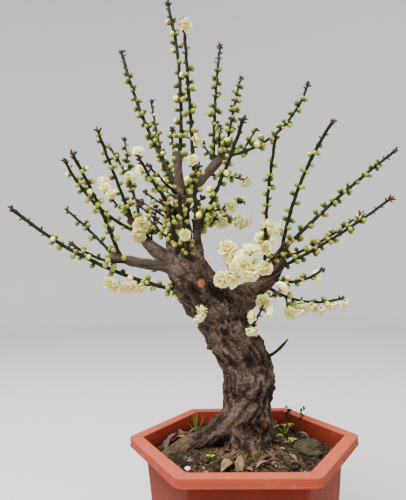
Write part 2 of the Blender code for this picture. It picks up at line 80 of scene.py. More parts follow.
class Finish:
    def __init__(self, name, roughness=0.6, **fixed):
        self.material = bpy.data.materials.new(name)
        self.material.use_nodes = True
        self.tree = self.material.node_tree
        self.shader = self.tree.nodes["Principled BSDF"]
        self.place = self.node("TexCoord", {}, {}, "Object")
        self.shader.inputs["Roughness"].default_value = roughness
        for name, value in fixed.items():
            self.shader.inputs[name.replace("_", " ")].default_value = value

    def node(self, kind, settings, links, output=0):
        made = self.tree.nodes.new("ShaderNode" + kind)
        for name, value in settings.items():
            if name == "stops":
                points = made.color_ramp.elements
                while len(points) < len(value):
                    points.new(0.5)
                for point, (at, colour) in zip(points, value):
                    point.position = at
                    point.color = (*colour, 1)
            else:
                setattr(made, name, value)
        for name, value in links.items():
            self.plug(made.inputs[name], value)
        return Wire(self, made.outputs[output])

    def plug(self, socket, value):
        if isinstance(value, Wire):
            self.tree.links.new(value.socket, socket)
        elif socket.type == "RGBA":
            socket.default_value = (*value, 1)
        else:
            socket.default_value = value

    def axis(self, which):
        return self.node("SeparateXYZ", {}, {0: self.place}, which)

    def stretch(self, x, y, z, vector=None):
        return self.node("VectorMath", {"operation": "MULTIPLY"}, {0: vector or self.place, 1: (x, y, z)})

    def grain(self, scale, detail=3, rough=0.5, vector=None, twist=0):
        links = {"Vector": vector or self.place, "Scale": scale, "Detail": detail, "Roughness": rough,
                 "Distortion": twist}
        return self.node("TexNoise", {}, links)

    def cells(self, scale, feature="F1"):
        links = {"Vector": self.place, "Scale": scale}
        return self.node("TexVoronoi", {"feature": feature}, links, "Distance")

    def within(self, value, low, high):
        links = {"Value": value, "From Min": low, "From Max": high}
        return self.node("MapRange", {"interpolation_type": "SMOOTHSTEP"}, links)

    def mix(self, share, first, second, blend="MIX"):
        settings = {"data_type": "RGBA", "blend_type": blend}
        return self.node("Mix", settings, {0: share, 6: first, 7: second}, 2)

    def ramp(self, value, *stops):
        return self.node("ValToRGB", {"stops": stops}, {0: value})

    def attribute(self, name, output="Fac"):
        return self.node("Attribute", {"attribute_name": name}, {}, output)

    def paint(self, colour, roughness=None):
        self.plug(self.shader.inputs["Base Color"], colour)
        if roughness is not None:
            self.plug(self.shader.inputs["Roughness"], roughness)
        return self.material

    def relief(self, height, depth, strength=1.0):
        bump = self.node("Bump", {}, {"Height": height, "Distance": depth, "Strength": strength})
        self.plug(self.shader.inputs["Normal"], bump)


def potFinish():
    look = Finish("potPlastic", Specular_IOR_Level=0.07)
    height = look.axis("Z")
    cloud = look.grain(9, 4, 0.6)
    film = look.grain(60, 5, 0.65)
    streak = look.grain(1, 4, 0.6, look.stretch(90, 90, 7))
    fine = look.grain(900, 2, 0.6)
    # painted shade and painted light: the body below the lip is painted dark as the shade under the rim, and
    # the lip and rim above are painted lighter as lit
    colour = look.ramp(cloud * 0.6 + streak * 0.4, (0.3, (0.172, 0.019, 0.010)), (0.7, (0.245, 0.031, 0.015)))
    lit = look.within(height, 0.1660, 0.1720)
    colour = look.mix(lit * 0.85, colour, look.mix(cloud, (0.245, 0.038, 0.021), (0.320, 0.055, 0.031)))
    # the rim top is paler, partly dust and partly a painted sheen of sky reflection
    dustAndSheen = look.within(height, 0.1775, 0.1805) * (0.35 + 0.65 * film)
    colour = look.mix(dustAndSheen * 0.75, colour, (0.54, 0.120, 0.060))
    # painted shade: the inside walls of the pot are darker
    shaded = look.mix(cloud, (0.105, 0.011, 0.005), (0.170, 0.020, 0.009))
    colour = look.mix(look.attribute("inner") * 0.9, colour, shaded)
    damp = look.within(height, 0.1745, 0.1640) * look.within(film, 0.35, 0.62)
    colour = look.mix(damp * 0.35, colour, (0.070, 0.022, 0.012))
    lime = look.within(look.grain(34, 5, 0.7), 0.58, 0.70) * look.within(height, 0.150, 0.176)
    colour = look.mix(lime * 0.14, colour, (0.60, 0.36, 0.27))
    scuff = look.within(look.grain(1, 3, 0.7, look.stretch(420, 420, 60)), 0.62, 0.70)
    colour = look.mix(scuff * 0.12, colour, (0.55, 0.20, 0.13))
    look.relief(fine * 0.25 + streak * 0.3 + film * 0.45, 0.0004, 0.35)
    return look.paint(colour, 0.50 + 0.20 * film + 0.12 * scuff)


def soilFinish():
    look = Finish("soilEarth", Specular_IOR_Level=0.15)
    crumbs = look.cells(520)
    patches = look.grain(26, 4, 0.6)
    grit = look.grain(700, 3, 0.7)
    colour = look.ramp(crumbs * 0.55 + grit * 0.45, (0.15, (0.006, 0.004, 0.003)),
                       (0.45, (0.026, 0.016, 0.010)), (0.75, (0.066, 0.042, 0.026)))
    colour = look.mix(look.within(patches, 0.48, 0.66) * 0.5, colour, (0.052, 0.027, 0.015))
    look.relief(crumbs * 0.6 + grit * 0.4, 0.0012, 0.8)
    return look.paint(colour, 0.9)


def grainFinish():
    look = Finish("soilGrains", Specular_IOR_Level=0.15)
    tone = look.attribute("tone")
    grit = look.grain(900, 3, 0.6)
    colour = look.ramp(tone, (0.0, (0.010, 0.006, 0.004)), (0.35, (0.030, 0.018, 0.011)),
                       (0.62, (0.064, 0.036, 0.021)), (0.88, (0.130, 0.088, 0.052)),
                       (0.985, (0.33, 0.27, 0.20)))
    colour = look.mix(grit * 0.6, colour, (0.035, 0.022, 0.015), "MULTIPLY")
    look.relief(grit, 0.0006, 0.6)
    return look.paint(colour, 0.9)


def barkFinish():
    look = Finish("bark", Specular_IOR_Level=0.12)
    along = look.attribute("grain", "Vector")
    high = look.attribute("high")
    sawn = look.attribute("sawn")
    mossy = look.attribute("mossy")
    young = look.attribute("young")
    plates = look.grain(95, 5, 0.65, along, 0.6)
    flakes = look.grain(420, 4, 0.65, along)
    specks = look.cells(620)
    height = look.axis("Z")
    # colour follows the relief: crevices are near-black, partly the bark's own dark fissures and partly
    # painted shade, and raised plates are lighter as a painted highlight
    colour = look.ramp(high * 0.55 + plates * 0.30 + flakes * 0.15, (0.30, (0.0025, 0.0016, 0.0012)),
                       (0.44, (0.0120, 0.0070, 0.0050)), (0.56, (0.042, 0.0255, 0.0185)),
                       (0.76, (0.135, 0.094, 0.068)))
    rust = look.within(look.grain(38, 4, 0.7), 0.50, 0.66) * look.within(flakes, 0.42, 0.62)
    rust = rust * look.within(height, 0.300, 0.190)
    colour = look.mix(rust * 0.7, colour, (0.170, 0.068, 0.026))
    lichen = look.within(look.grain(70, 5, 0.75), 0.56, 0.68) * look.within(specks, 0.55, 0.25)
    colour = look.mix(lichen * 0.40, colour, (0.19, 0.165, 0.115))
    olive = look.within(look.grain(24, 3, 0.6), 0.42, 0.62) * young
    colour = look.mix(olive * 0.22, colour, (0.082, 0.054, 0.028))
    green = look.within(look.grain(120, 4, 0.7) * 0.6 + mossy, 0.62, 0.95)
    colour = look.mix(green * 0.42, colour, look.mix(flakes, (0.040, 0.032, 0.014), (0.175, 0.138, 0.080)))
    rings = look.node("TexWave", {"wave_type": "RINGS", "rings_direction": "SPHERICAL"},
                      {"Vector": look.stretch(1, 1, 0, along), "Scale": 260, "Distortion": 2.5, "Detail": 2})
    timber = look.mix(rings, (0.15, 0.088, 0.048), (0.27, 0.175, 0.100))
    colour = look.mix(look.within(sawn, 0.35, 0.75), colour, timber)
    scar = look.within(look.attribute("scar") + (flakes - 0.5) * 0.5, 0.30, 0.60)
    colour = look.mix(scar * 0.9, colour, look.mix(flakes, (0.16, 0.036, 0.014), (0.46, 0.140, 0.060)))
    pale = look.attribute("pale") * look.within(plates, 0.30, 0.60)
    colour = look.mix(pale * 0.7, colour, look.mix(flakes, (0.045, 0.031, 0.022), (0.130, 0.100, 0.074)))
    look.relief(plates * 0.5 + flakes * 0.35 + specks * 0.15, 0.0026, 1.0)
    return look.paint(colour, 0.72 + 0.22 * flakes)


def shootFinish():
    look = Finish("greenShoot", 0.55, Specular_IOR_Level=0.08)
    ripe = look.attribute("ripe")
    streak = look.grain(180, 4, 0.6)
    dots = look.within(look.cells(900), 0.22, 0.12)
    green = look.mix(streak, (0.005, 0.008, 0.0025), (0.020, 0.027, 0.008))
    brown = look.mix(streak, (0.008, 0.004, 0.003), (0.026, 0.013, 0.009))
    woody = look.mix(streak, (0.016, 0.011, 0.007), (0.042, 0.030, 0.016))
    turned = look.within(ripe + (streak - 0.5) * 0.35, 0.72, 1.05)
    colour = look.mix(turned, green, brown)
    colour = look.mix(look.within(ripe, 0.16, 0.02) * 0.9, colour, woody)
    colour = look.mix(dots * 0.10, colour, (0.16, 0.12, 0.06))
    look.relief(streak * 0.5 + dots * 0.5, 0.0003, 0.6)
    return look.paint(colour)


def petalFinish():
    look = Finish("petal", 0.6, Specular_IOR_Level=0.15)
    share = look.attribute("share")
    veins = look.grain(700, 3, 0.6)
    cloud = look.grain(160, 3, 0.6)
    colour = look.ramp(share + (cloud - 0.5) * 0.18, (0.0, (0.44, 0.46, 0.02)), (0.26, (0.90, 0.76, 0.09)),
                       (0.50, (0.99, 0.90, 0.28)), (0.85, (1.0, 0.965, 0.57)))
    colour = look.mix(look.within(veins, 0.5, 0.8) * 0.18, colour, (0.84, 0.74, 0.22))
    look.relief(veins * 0.5 + cloud * 0.5, 0.0004, 0.5)
    return look.paint(colour)


def calyxFinish():
    look = Finish("calyx", 0.5, Specular_IOR_Level=0.25)
    share = look.attribute("share")
    tone = look.attribute("tone")
    mottle = look.grain(500, 3, 0.6)
    colour = look.ramp(share + (mottle - 0.5) * 0.3, (0.0, (0.022, 0.013, 0.005)),
                       (0.22, (0.045, 0.056, 0.006)), (0.60, (0.115, 0.145, 0.011)),
                       (0.95, (0.285, 0.300, 0.036)))
    colour = look.mix(tone * 0.40, colour, (0.60, 0.50, 0.10))
    look.relief(mottle, 0.0003, 0.5)
    return look.paint(colour)


def plainGrowth(name, dark, light, roughness=0.6, scale=260, depth=0.0004):
    look = Finish(name, roughness, Specular_IOR_Level=0.2)
    mottle = look.grain(scale, 4, 0.65)
    patch = look.grain(scale / 9, 3, 0.6)
    look.relief(mottle * 0.7 + patch * 0.3, depth, 0.7)
    return look.paint(look.mix(mottle * 0.6 + patch * 0.4, dark, light))


def leafFinish():
    look = Finish("dryLeaf", 0.62)
    share = look.attribute("share")
    patch = look.grain(170, 4, 0.7)
    veins = look.within(look.cells(300, "DISTANCE_TO_EDGE"), 0.10, 0.02)
    colour = look.ramp(patch, (0.30, (0.085, 0.040, 0.017)), (0.52, (0.215, 0.120, 0.050)),
                       (0.72, (0.37, 0.250, 0.115)))
    colour = look.mix(veins * 0.3, colour, (0.42, 0.31, 0.17))
    colour = look.mix(look.within(share, 0.85, 1.0) * 0.6, colour, (0.060, 0.028, 0.013))
    rotten = look.mix(patch, (0.022, 0.012, 0.007), (0.085, 0.046, 0.024))
    colour = look.mix(look.attribute("tone"), colour, rotten)
    look.relief(veins * 0.5 + patch * 0.5, 0.0005, 0.7)
    return look.paint(colour)


finishes = {
    "pot": potFinish(), "soil": soilFinish(), "grains": grainFinish(), "bark": barkFinish(),
    "shoot": shootFinish(), "petal": petalFinish(), "calyx": calyxFinish(), "leaf": leafFinish(),
    "anther": plainGrowth("anther", (0.62, 0.36, 0.05), (0.86, 0.66, 0.18), 0.7, 900),
    "filament": plainGrowth("filament", (0.70, 0.72, 0.42), (0.86, 0.86, 0.62), 0.5, 700),
    "scale": plainGrowth("budScale", (0.020, 0.010, 0.006), (0.085, 0.044, 0.022), 0.6, 620),
    "moss": plainGrowth("moss", (0.022, 0.026, 0.007), (0.110, 0.120, 0.036), 0.9, 240),
    "clod": plainGrowth("clodEarth", (0.018, 0.014, 0.006), (0.086, 0.070, 0.034), 0.95, 330, 0.0012),
    "fur": plainGrowth("clodFur", (0.026, 0.023, 0.011), (0.120, 0.104, 0.056), 0.95, 240),
    "weed": plainGrowth("weedLeaf", (0.150, 0.230, 0.018), (0.380, 0.430, 0.060), 0.5, 220),
    "twig": plainGrowth("twig", (0.020, 0.010, 0.006), (0.080, 0.046, 0.026), 0.8, 420),
    "rootlet": plainGrowth("rootlet", (0.050, 0.026, 0.013), (0.175, 0.105, 0.056), 0.75, 420),
    "pebble": plainGrowth("pebble", (0.62, 0.60, 0.55), (0.90, 0.89, 0.85), 0.45, 340, 0.0003),
    "grass": plainGrowth("grassBlade", (0.070, 0.130, 0.014), (0.250, 0.340, 0.050), 0.5, 180),
    "floor": plainGrowth("studioFloor", (0.635, 0.630, 0.620), (0.660, 0.655, 0.645), 0.8, 3, 0.0001),
}
print("finishes made")


def meshFrom(shape, name, recalculate=False):
    if recalculate:
        bmesh.ops.recalc_face_normals(shape, faces=shape.faces)
    mesh = bpy.data.meshes.new(name)
    shape.to_mesh(mesh)
    shape.free()
    return mesh


def everything(shape):
    return list(shape.verts) + list(shape.edges) + list(shape.faces)


def thicken(shape, wall):
    bmesh.ops.solidify(shape, geom=everything(shape), thickness=wall)


def closeHoles(shape):
    bmesh.ops.holes_fill(shape, edges=[edge for edge in shape.edges if edge.is_boundary])


def pulled(shape, edges):  # the new open edges and their vertices, still where the old ones are
    raised = bmesh.ops.extrude_edge_only(shape, edges=edges)["geom"]
    opened = [item for item in raised if isinstance(item, bmesh.types.BMEdge) and item.is_boundary]
    return opened, [item for item in raised if isinstance(item, bmesh.types.BMVert)]


def linked(name, data):
    thing = bpy.data.objects.new(name, data)
    bpy.context.scene.collection.objects.link(thing)
    return thing


def addPiece(name, mesh, looks, standsFor=(), smooth=True):
    piece = linked(name, mesh)
    for look in looks:
        mesh.materials.append(finishes[look])
    if smooth:
        mesh.shade_smooth()
    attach(piece, "root")
    if standsFor:
        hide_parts(*standsFor)


def evaluatedMesh(thing):
    graph = bpy.context.evaluated_depsgraph_get()
    return bpy.data.meshes.new_from_object(thing.evaluated_get(graph))


def finished(name, mesh, modifiers):
    thing = linked(name, mesh)
    for kind, settings in modifiers:
        modifier = thing.modifiers.new(kind.lower(), kind)
        for key, value in settings.items():
            setattr(modifier, key, value)
    done = evaluatedMesh(thing)
    bpy.data.objects.remove(thing, do_unlink=True)
    return done


def setShare(mesh, name, values):
    mesh.attributes.new(name, "FLOAT", "POINT").data.foreach_set("value", values)


def patternFrom(shape, name, share=None, recalculate=False):  # a small mesh that gather() will copy
    mesh = meshFrom(shape, name, recalculate)
    if share:
        setShare(mesh, "share", [share(vertex.co) for vertex in mesh.vertices])
    setShare(mesh, "tone", [0.0] * len(mesh.vertices))
    return mesh


def treeOf(spots):
    tree = kdtree.KDTree(len(spots))
    for number, spot in enumerate(spots):
        tree.insert(spot, number)
    tree.balance()
    return tree


def smoothRoute(points, steps):  # a smooth curve through the points, radius included
    ends = [points[0]] + list(points) + [points[-1]]
    route = []
    for before, start, finish, after in zip(ends, ends[1:], ends[2:], ends[3:]):
        for step in range(steps):
            t = step / steps
            route.append([0.5 * (2 * b + (c - a) * t + (2 * a - 5 * b + 4 * c - d) * t * t
                                 + (3 * b - a - 3 * c + d) * t ** 3)
                          for a, b, c, d in zip(before, start, finish, after)])
    return route + [list(points[-1])]


def tubes(name, routes, sides):  # round capped tubes along lists of (x, y, z, radius)
    curve = bpy.data.curves.new(name, "CURVE")
    curve.dimensions = "3D"
    curve.bevel_depth = 1
    curve.bevel_resolution = (sides - 4) // 2
    curve.use_fill_caps = True
    for route in routes:
        spline = curve.splines.new("POLY")
        spline.points.add(len(route) - 1)
        for point, (x, y, z, radius) in zip(spline.points, route):
            point.co = (x, y, z, 1)
            point.radius = radius
    guide = linked(name, curve)
    mesh = evaluatedMesh(guide)
    bpy.data.objects.remove(guide, do_unlink=True)
    shape = bmesh.new()
    shape.from_mesh(mesh)
    bmesh.ops.remove_doubles(shape, verts=shape.verts, dist=1e-6)
    return meshFrom(shape, name, True)


def gather(name, copies):  # many placed copies of small meshes as one mesh, each with its own tone
    shape = bmesh.new()
    for pattern, matrix, tone in copies:
        copy = pattern.copy()
        copy.transform(matrix)
        if "tone" in copy.attributes:
            copy.attributes["tone"].data.foreach_set("value", [tone] * len(copy.vertices))
        shape.from_mesh(copy)
        bpy.data.meshes.remove(copy)
    return meshFrom(shape, name)


def placed(spot, facing, size=1.0, turn=0.0):
    rotation = facing.to_track_quat("Z", "Y").to_matrix().to_4x4()
    return Matrix.Translation(spot) @ rotation @ Matrix.Rotation(turn, 4, "Z") @ Matrix.Scale(size, 4)


def towards(heading, climb):
    heading = radians(heading)
    climb = radians(climb)
    return Vector((cos(climb) * cos(heading), cos(climb) * sin(heading), sin(climb)))


def pointAlong(route, share):  # the place, direction and radius at a share of the way
    spots = [Vector(point[:3]) for point in route]
    lengths = [(b - a).length for a, b in zip(spots, spots[1:])]
    left = share * sum(lengths)
    for a, b, first, second, length in zip(spots, spots[1:], route, route[1:], lengths):
        if left <= length:
            t = left / length
            return a.lerp(b, t), (b - a).normalized(), first[3] * (1 - t) + second[3] * t
        left -= length
    return spots[-1], (spots[-1] - spots[-2]).normalized(), route[-1][3]


studio = {
    "camera": (-0.0229, -0.6362, 0.3892), "yaw": -2.32, "climb": 3.94, "roll": -1.24, "lens": 40.58,
    "sweepRadius": 3.4, "sweepBend": 0.8, "sweepHeight": 5.5, "aim": (0, 0, 0.35),
    "keyPower": 215, "keyPlace": (-0.9, -1.1, 2.6), "keySize": 1.6,
    "fillPower": 16, "fillPlace": (1.9, -0.9, 1.3), "fillSize": 1.8,
    "skyStrength": 1.3, "skyColour": (0.93, 0.96, 1.0, 1),
}


def areaLight(name, power, place, size):
    light = bpy.data.lights.new(name, "AREA")
    light.energy = power
    light.size = size
    aim = Vector(studio["aim"]) - Vector(place)
    turn = aim.to_track_quat("-Z", "Y").to_matrix().to_4x4()
    linked(name, light).matrix_world = Matrix.Translation(place) @ turn


def makeCamera():
    data = bpy.data.cameras.new("camera")
    data.sensor_fit = "HORIZONTAL"
    data.lens = studio["lens"]
    data.clip_start = 0.01
    camera = linked("camera", data)
    forward = towards(90 - studio["yaw"], studio["climb"])
    side = forward.cross(up).normalized()
    above = side.cross(forward)
    roll = radians(studio["roll"])
    right = side * cos(roll) + above * sin(roll)
    top = above * cos(roll) - side * sin(roll)
    turn = Matrix((right, top, -forward)).transposed().to_4x4()
    camera.matrix_world = Matrix.Translation(studio["camera"]) @ turn
    bpy.context.scene.camera = camera


def makeSweep():  # a round floor that sweeps up into a wall
    shape = bmesh.new()
    bmesh.ops.create_circle(shape, segments=96, radius=0.02)
    edges = list(shape.edges)
    bmesh.ops.holes_fill(shape, edges=edges)
    radius, bend = studio["sweepRadius"], studio["sweepBend"]
    rings = [(0.5, 0), (1.5, 0), (radius, 0)]
    for step in range(1, 10):
        angle = radians(10 * step)
        rings.append((radius + bend * sin(angle), bend * (1 - cos(angle))))
    rings.append((radius + bend, studio["sweepHeight"]))
    for out, height in rings:
        edges, ring = pulled(shape, edges)
        for vertex in ring:
            vertex.co = (vertex.co.xy.normalized() * out).to_3d() + up * height
    bmesh.ops.recalc_face_normals(shape, faces=shape.faces)
    shape.faces.ensure_lookup_table()
    if shape.faces[0].normal.z < 0:
        bmesh.ops.reverse_faces(shape, faces=shape.faces)
    floor = linked("studioFloor", meshFrom(shape, "studioFloor"))
    floor.data.materials.append(finishes["floor"])
    floor.data.shade_smooth()


def makeLights():
    areaLight("keyLight", studio["keyPower"], studio["keyPlace"], studio["keySize"])
    areaLight("fillLight", studio["fillPower"], studio["fillPlace"], studio["fillSize"])
    world = bpy.data.worlds.new("softSky")
    world.use_nodes = True
    sky = world.node_tree.nodes["Background"]
    sky.inputs["Color"].default_value = studio["skyColour"]
    sky.inputs["Strength"].default_value = studio["skyStrength"]
    bpy.context.scene.world = world


makeCamera()
makeSweep()
makeLights()
print("studio set")


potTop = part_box("pot")[1].z
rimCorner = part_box("pot")[1].y / across
pot = {
    "rimWidth": 0.0165, "plate": 0.0030, "lipDrop": 0.0115, "lipWall": 0.0026, "throatDrop": 0.0140,
    "throatStep": 0.0060, "wall": 0.0034, "floor": 0.0040, "draft": 0.108, "cornerRound": 0.0046,
    "bead": 0.0007, "edgeRound": 0.0009, "footRise": 0.0022, "footInner": 0.034, "footOuter": 0.088,
    "drainRadius": 0.0060, "drainCircle": 0.060, "drainDepth": 0.03,
}
mouthCorner = rimCorner - pot["rimWidth"] / across


def wallCorner(height):  # middle to corner of the outside wall
    fall = potTop - pot["throatDrop"] - height
    return mouthCorner - pot["throatStep"] + pot["wall"] / across - fall * pot["draft"]


def potProfile():
    inside = pot["wall"] / across
    lip = potTop - pot["lipDrop"]
    skirt = rimCorner - pot["lipWall"] / across
    under = potTop - pot["plate"]
    throat = potTop - pot["throatDrop"]
    base = pot["floor"] + pot["footRise"]
    return [
        (wallCorner(0) - 0.0004, 0), (wallCorner(0.004), 0.004), (wallCorner(0.09), 0.09),
        (wallCorner(throat), throat), (wallCorner(under), under), (skirt, under), (skirt, lip + 0.0016),
        (skirt - 0.0002, lip), (rimCorner + pot["bead"] * 0.6, lip), (rimCorner + pot["bead"], lip + 0.0011),
        (rimCorner - 0.0001, lip + 0.0024), (rimCorner - 0.0002, lip + 0.0050), (rimCorner, potTop),
        (mouthCorner + 0.0008, potTop), (mouthCorner, potTop - 0.0012),
        (mouthCorner - pot["throatStep"], throat), (wallCorner(throat - 0.004) - inside, throat - 0.004),
        (wallCorner(0.09) - inside, 0.09), (wallCorner(base) - inside, base),
    ]


def potShell():
    shape = bmesh.new()
    profile = potProfile()
    ring = bmesh.ops.create_circle(shape, segments=6, radius=profile[0][0])["verts"]
    turned = Matrix.Rotation(radians(30), 4, "Z") if abs(ring[0].co.x) < 1e-4 else Matrix.Identity(4)
    bmesh.ops.transform(shape, matrix=turned, verts=ring)
    bmesh.ops.bevel(shape, geom=list(ring), offset=pot["cornerRound"], segments=8, profile=0.5,
                    affect="VERTICES", material=-1)
    edges = list(shape.edges)
    for (corner, height), (wider, higher) in zip(profile, profile[1:]):
        edges, ring = pulled(shape, edges)
        grow = wider / corner
        bmesh.ops.scale(shape, vec=(grow, grow, 1), verts=ring)
        bmesh.ops.translate(shape, vec=(0, 0, higher - height), verts=ring)
    closeHoles(shape)
    bmesh.ops.recalc_face_normals(shape, faces=shape.faces)
    sharp = [edge for edge in shape.edges
             if abs(edge.verts[0].co.z - edge.verts[1].co.z) < 1e-5 and edge.calc_face_angle(0) > radians(22)]
    bmesh.ops.bevel(shape, geom=sharp, offset=pot["edgeRound"] * 0.5, segments=3, profile=0.5,
                    affect="EDGES", material=-1, clamp_overlap=True)
    return meshFrom(shape, "potBody")


def disc(name, radius, top, depth, segments, spot=(0, 0, 0)):
    shape = bmesh.new()
    bmesh.ops.create_cone(shape, cap_ends=True, segments=segments, radius1=radius, radius2=top, depth=depth,
                          matrix=Matrix.Translation(spot))
    return meshFrom(shape, name)


def cutAway(name, mesh, tools):
    tools = [linked(tool.name, tool) for tool in tools]
    cuts = [("BOOLEAN", {"operation": "DIFFERENCE", "object": tool}) for tool in tools]
    done = finished(name, mesh, cuts)
    for tool in tools:
        bpy.data.objects.remove(tool, do_unlink=True)
    return done


def makePot():
    sides = [towards(60 * number + 30, 0) for number in range(6)]
    ring = disc("footRing", pot["footOuter"], pot["footOuter"] - 0.001, pot["footRise"] * 2, 72)
    pad = disc("footPad", pot["footInner"], pot["footInner"], pot["footRise"] * 6, 48)
    ring = cutAway("footRing", ring, [pad])  # sunk between the middle pad and the standing ring
    drains = [disc(f"drain{number}", pot["drainRadius"], pot["drainRadius"], pot["drainDepth"], 32,
                   side * pot["drainCircle"]) for number, side in enumerate(sides)]
    body = cutAway("potBody", potShell(), [ring, *drains])
    # which faces lie inside the pot, where the finish paints shade
    inner = []
    for vertex in body.vertices:
        out = max(vertex.co.dot(side) for side in sides)
        height = vertex.co.z
        above = height > potTop - pot["throatDrop"] - 1e-4
        reach = mouthCorner * across + 0.0003 if above else wallCorner(height) * across - pot["wall"] * 0.7
        inner.append(float(out < reach and height > pot["floor"]))
    setShare(body, "inner", inner)
    body.set_sharp_from_angle(angle=radians(35))
    addPiece("pot_body", body, ["pot"], ["pot"], smooth=False)
    for face in body.polygons:
        face.use_smooth = True


makePot()
print("pot made")


soil = {
    "drop": 0.0205, "mound": 0.0110, "cells": 190, "depth": 0.012, "feedingRoots": 84, "fibres": 190,
    "flakes": 190, "leaves": 26,
}
soilLevel = potTop - soil["drop"]

# x, y and height above the soil at the wall, then the radius, in millimetres
limbs = {
    "trunk": [(2, 4, -38, 40), (2, 4, -14, 38), (3, 3, 8, 36.5), (5, 1, 28, 34.5), (5, 0, 45, 32.5),
              (6, 2, 64, 31.5), (10, 4, 94, 33), (8, 4, 117, 33), (-4, 2, 140, 32), (-15, 0, 156, 31.5),
              (-24, -2, 177, 30.5), (-28, -2, 194, 31)],
    "leftLimb": [(-26, -2, 184, 30), (-37, -4, 200, 31.5), (-48, -6, 213, 31.5), (-58, -8, 226, 31),
                 (-68, -8, 243, 29.5), (-75, -6, 259, 26.5), (-79, -4, 280, 20), (-80, -2, 304, 14.5),
                 (-78, 0, 330, 12), (-77, 0, 356, 10.5)],
    "crownStub": [(-77, 0, 350, 9), (-81, -4, 372, 6.6), (-81, -8, 391, 6), (-83, -12, 412, 6.2)],
    "slantingStub": [(-77, 0, 336, 9), (-59, 12, 365, 7.6), (-34, 24, 395, 7), (-10, 36, 422, 6.8)],
    "innerStub": [(-52, -6, 243, 10), (-54, -12, 270, 6.8), (-56, -16, 291, 6.2), (-56, -18, 306, 6.4),
                  (-56, -20, 316, 8)],
    "levelStub": [(-82, -8, 247, 12), (-106, -16, 252, 7.8), (-133, -26, 257, 7), (-171, -40, 266, 6.4)],
    "sideLimb": [(-84, 0, 254, 14), (-114, 14, 273, 9), (-132, 22, 291, 8.2), (-147, 30, 312, 7.2),
                 (-157, 36, 325, 7.6)],
    "rightLimb": [(-18, 0, 186, 26), (4, 8, 202, 20), (19, 16, 214, 15.5), (34, 24, 225, 13.2),
                  (49, 32, 237, 12.2), (59, 38, 252, 11.4), (65, 42, 267, 9), (72, 45, 279, 6)],
    "bareSpur": [(6, 0, 205, 12), (12, -6, 203, 5), (20, -12, 200, 3.2)],
    "rootLeft": [(0, -4, 58, 20), (-24, -12, 38, 16.5), (-40, -12, 27, 14), (-60, -10, 17, 12.5),
                 (-81, -11, 10, 11), (-98, -13, 2, 9.5), (-109, -14, -11, 6)],
    "rootFront": [(4, -12, 26, 16), (8, -30, 11, 12), (11, -46, 2, 8), (13, -60, -10, 4.5)],
    "rootRight": [(10, 4, 26, 16), (34, 10, 9, 11), (54, 14, 0, 7.5), (70, 17, -12, 5)],
    "rootBack": [(0, 16, 30, 15), (-10, 42, 11, 11), (-20, 62, 2, 7.5), (-28, 78, -11, 5)],
}
sawnEnds = ["crownStub", "slantingStub", "innerStub", "levelStub", "sideLimb"]
barkLook = {
    "voxel": 0.00130, "smoothing": 9, "lumps": 0.0030, "warts": 0.0036, "ridges": 0.0030, "flakes": 0.0017,
    "grainStretch": 0.26, "buried": 0.010, "oldReach": 0.05, "oldest": 0.80, "sawStart": 0.0016,
    "scarLip": 0.0016, "youngFrom": 0.16,
}
paleStubs = ["levelStub", "slantingStub", "crownStub"]  # younger wood with smoother, greyer bark
scarPlace = Vector((-0.050, -0.038, 0.387))  # an old pruning wound, half healed
scarSize = Vector((0.0080, 0.0150, 0.0105))
# small dead spurs and thorns: limb, share along, heading, climb, length, radius in millimetres
spurs = [("leftLimb", 0.62, -120, 30, 12, 1.6), ("leftLimb", 0.50, -30, 25, 12, 1.5),
         ("levelStub", 0.10, -170, 5, 20, 1.5), ("rightLimb", 0.12, -30, 55, 18, 1.4),
         ("trunk", 0.86, -80, 12, 7, 1.2), ("leftLimb", 0.24, -95, 15, 6, 1.1),
         ("trunk", 0.74, 160, 10, 9, 1.5), ("sideLimb", 0.30, 60, 35, 12, 1.2),
         ("rightLimb", 0.75, 120, 30, 11, 1.2), ("slantingStub", 0.35, -60, 45, 9, 1.1)]


def limbRoute(name, steps=1):
    points = [(x * mm, y * mm, soilLevel + z * mm, radius * mm) for x, y, z, radius in limbs[name]]
    return smoothRoute(points, steps) if steps > 1 else points


def woodGuide():  # where each limb's middle runs, so that the bark's grain can follow it
    samples = []
    for number, name in enumerate(limbs):
        route = limbRoute(name, 7)
        run = number * 0.37
        for first, second in zip(route, route[1:]):
            a, b = Vector(first[:3]), Vector(second[:3])
            samples.append((a, (b - a).normalized(), run, first[3], name in paleStubs and first[3] < 0.010))
            run += (b - a).length
    return samples, treeOf([sample[0] for sample in samples])


def spurRoutes():
    routes = []
    for limb, share, heading, climb, length, radius in spurs:
        start, direction, thick = pointAlong(limbRoute(limb), share)
        out = towards(heading, climb)
        out = (out - direction * out.dot(direction) * 0.7).normalized()
        foot = start + out * (thick - 0.002)
        tip = foot + out * (length * mm + 0.002)
        routes.append([(*foot, radius * mm * 1.8), (*foot.lerp(tip, 0.35), radius * mm),
                       (*tip, radius * mm * 0.45)])
    return routes


def trunkShape():  # every limb and spur as one smooth skin, cut off just below the soil
    shape = bmesh.new()
    for number, route in enumerate([limbRoute(name, 5) for name in limbs] + spurRoutes()):
        shape.from_mesh(tubes(f"wood{number}", [route], 14))
    mesh = finished("wood", meshFrom(shape, "wood"), [
        ("REMESH", {"mode": "VOXEL", "voxel_size": barkLook["voxel"]}),
        ("SMOOTH", {"factor": 0.5, "iterations": barkLook["smoothing"]}),
    ])
    shape = bmesh.new()
    shape.from_mesh(mesh)
    bmesh.ops.bisect_plane(shape, geom=everything(shape), plane_co=(0, 0, soilLevel - barkLook["buried"]),
                           plane_no=(0, 0, -1), clear_outer=True)
    closeHoles(shape)
    return meshFrom(shape, "trunk")


def sawnFaces():
    ends = []
    for name in sawnEnds:
        route = limbRoute(name, 5)
        last, before = Vector(route[-1][:3]), Vector(route[-3][:3])
        ends.append((last, (last - before).normalized(), route[-1][3]))
    return ends


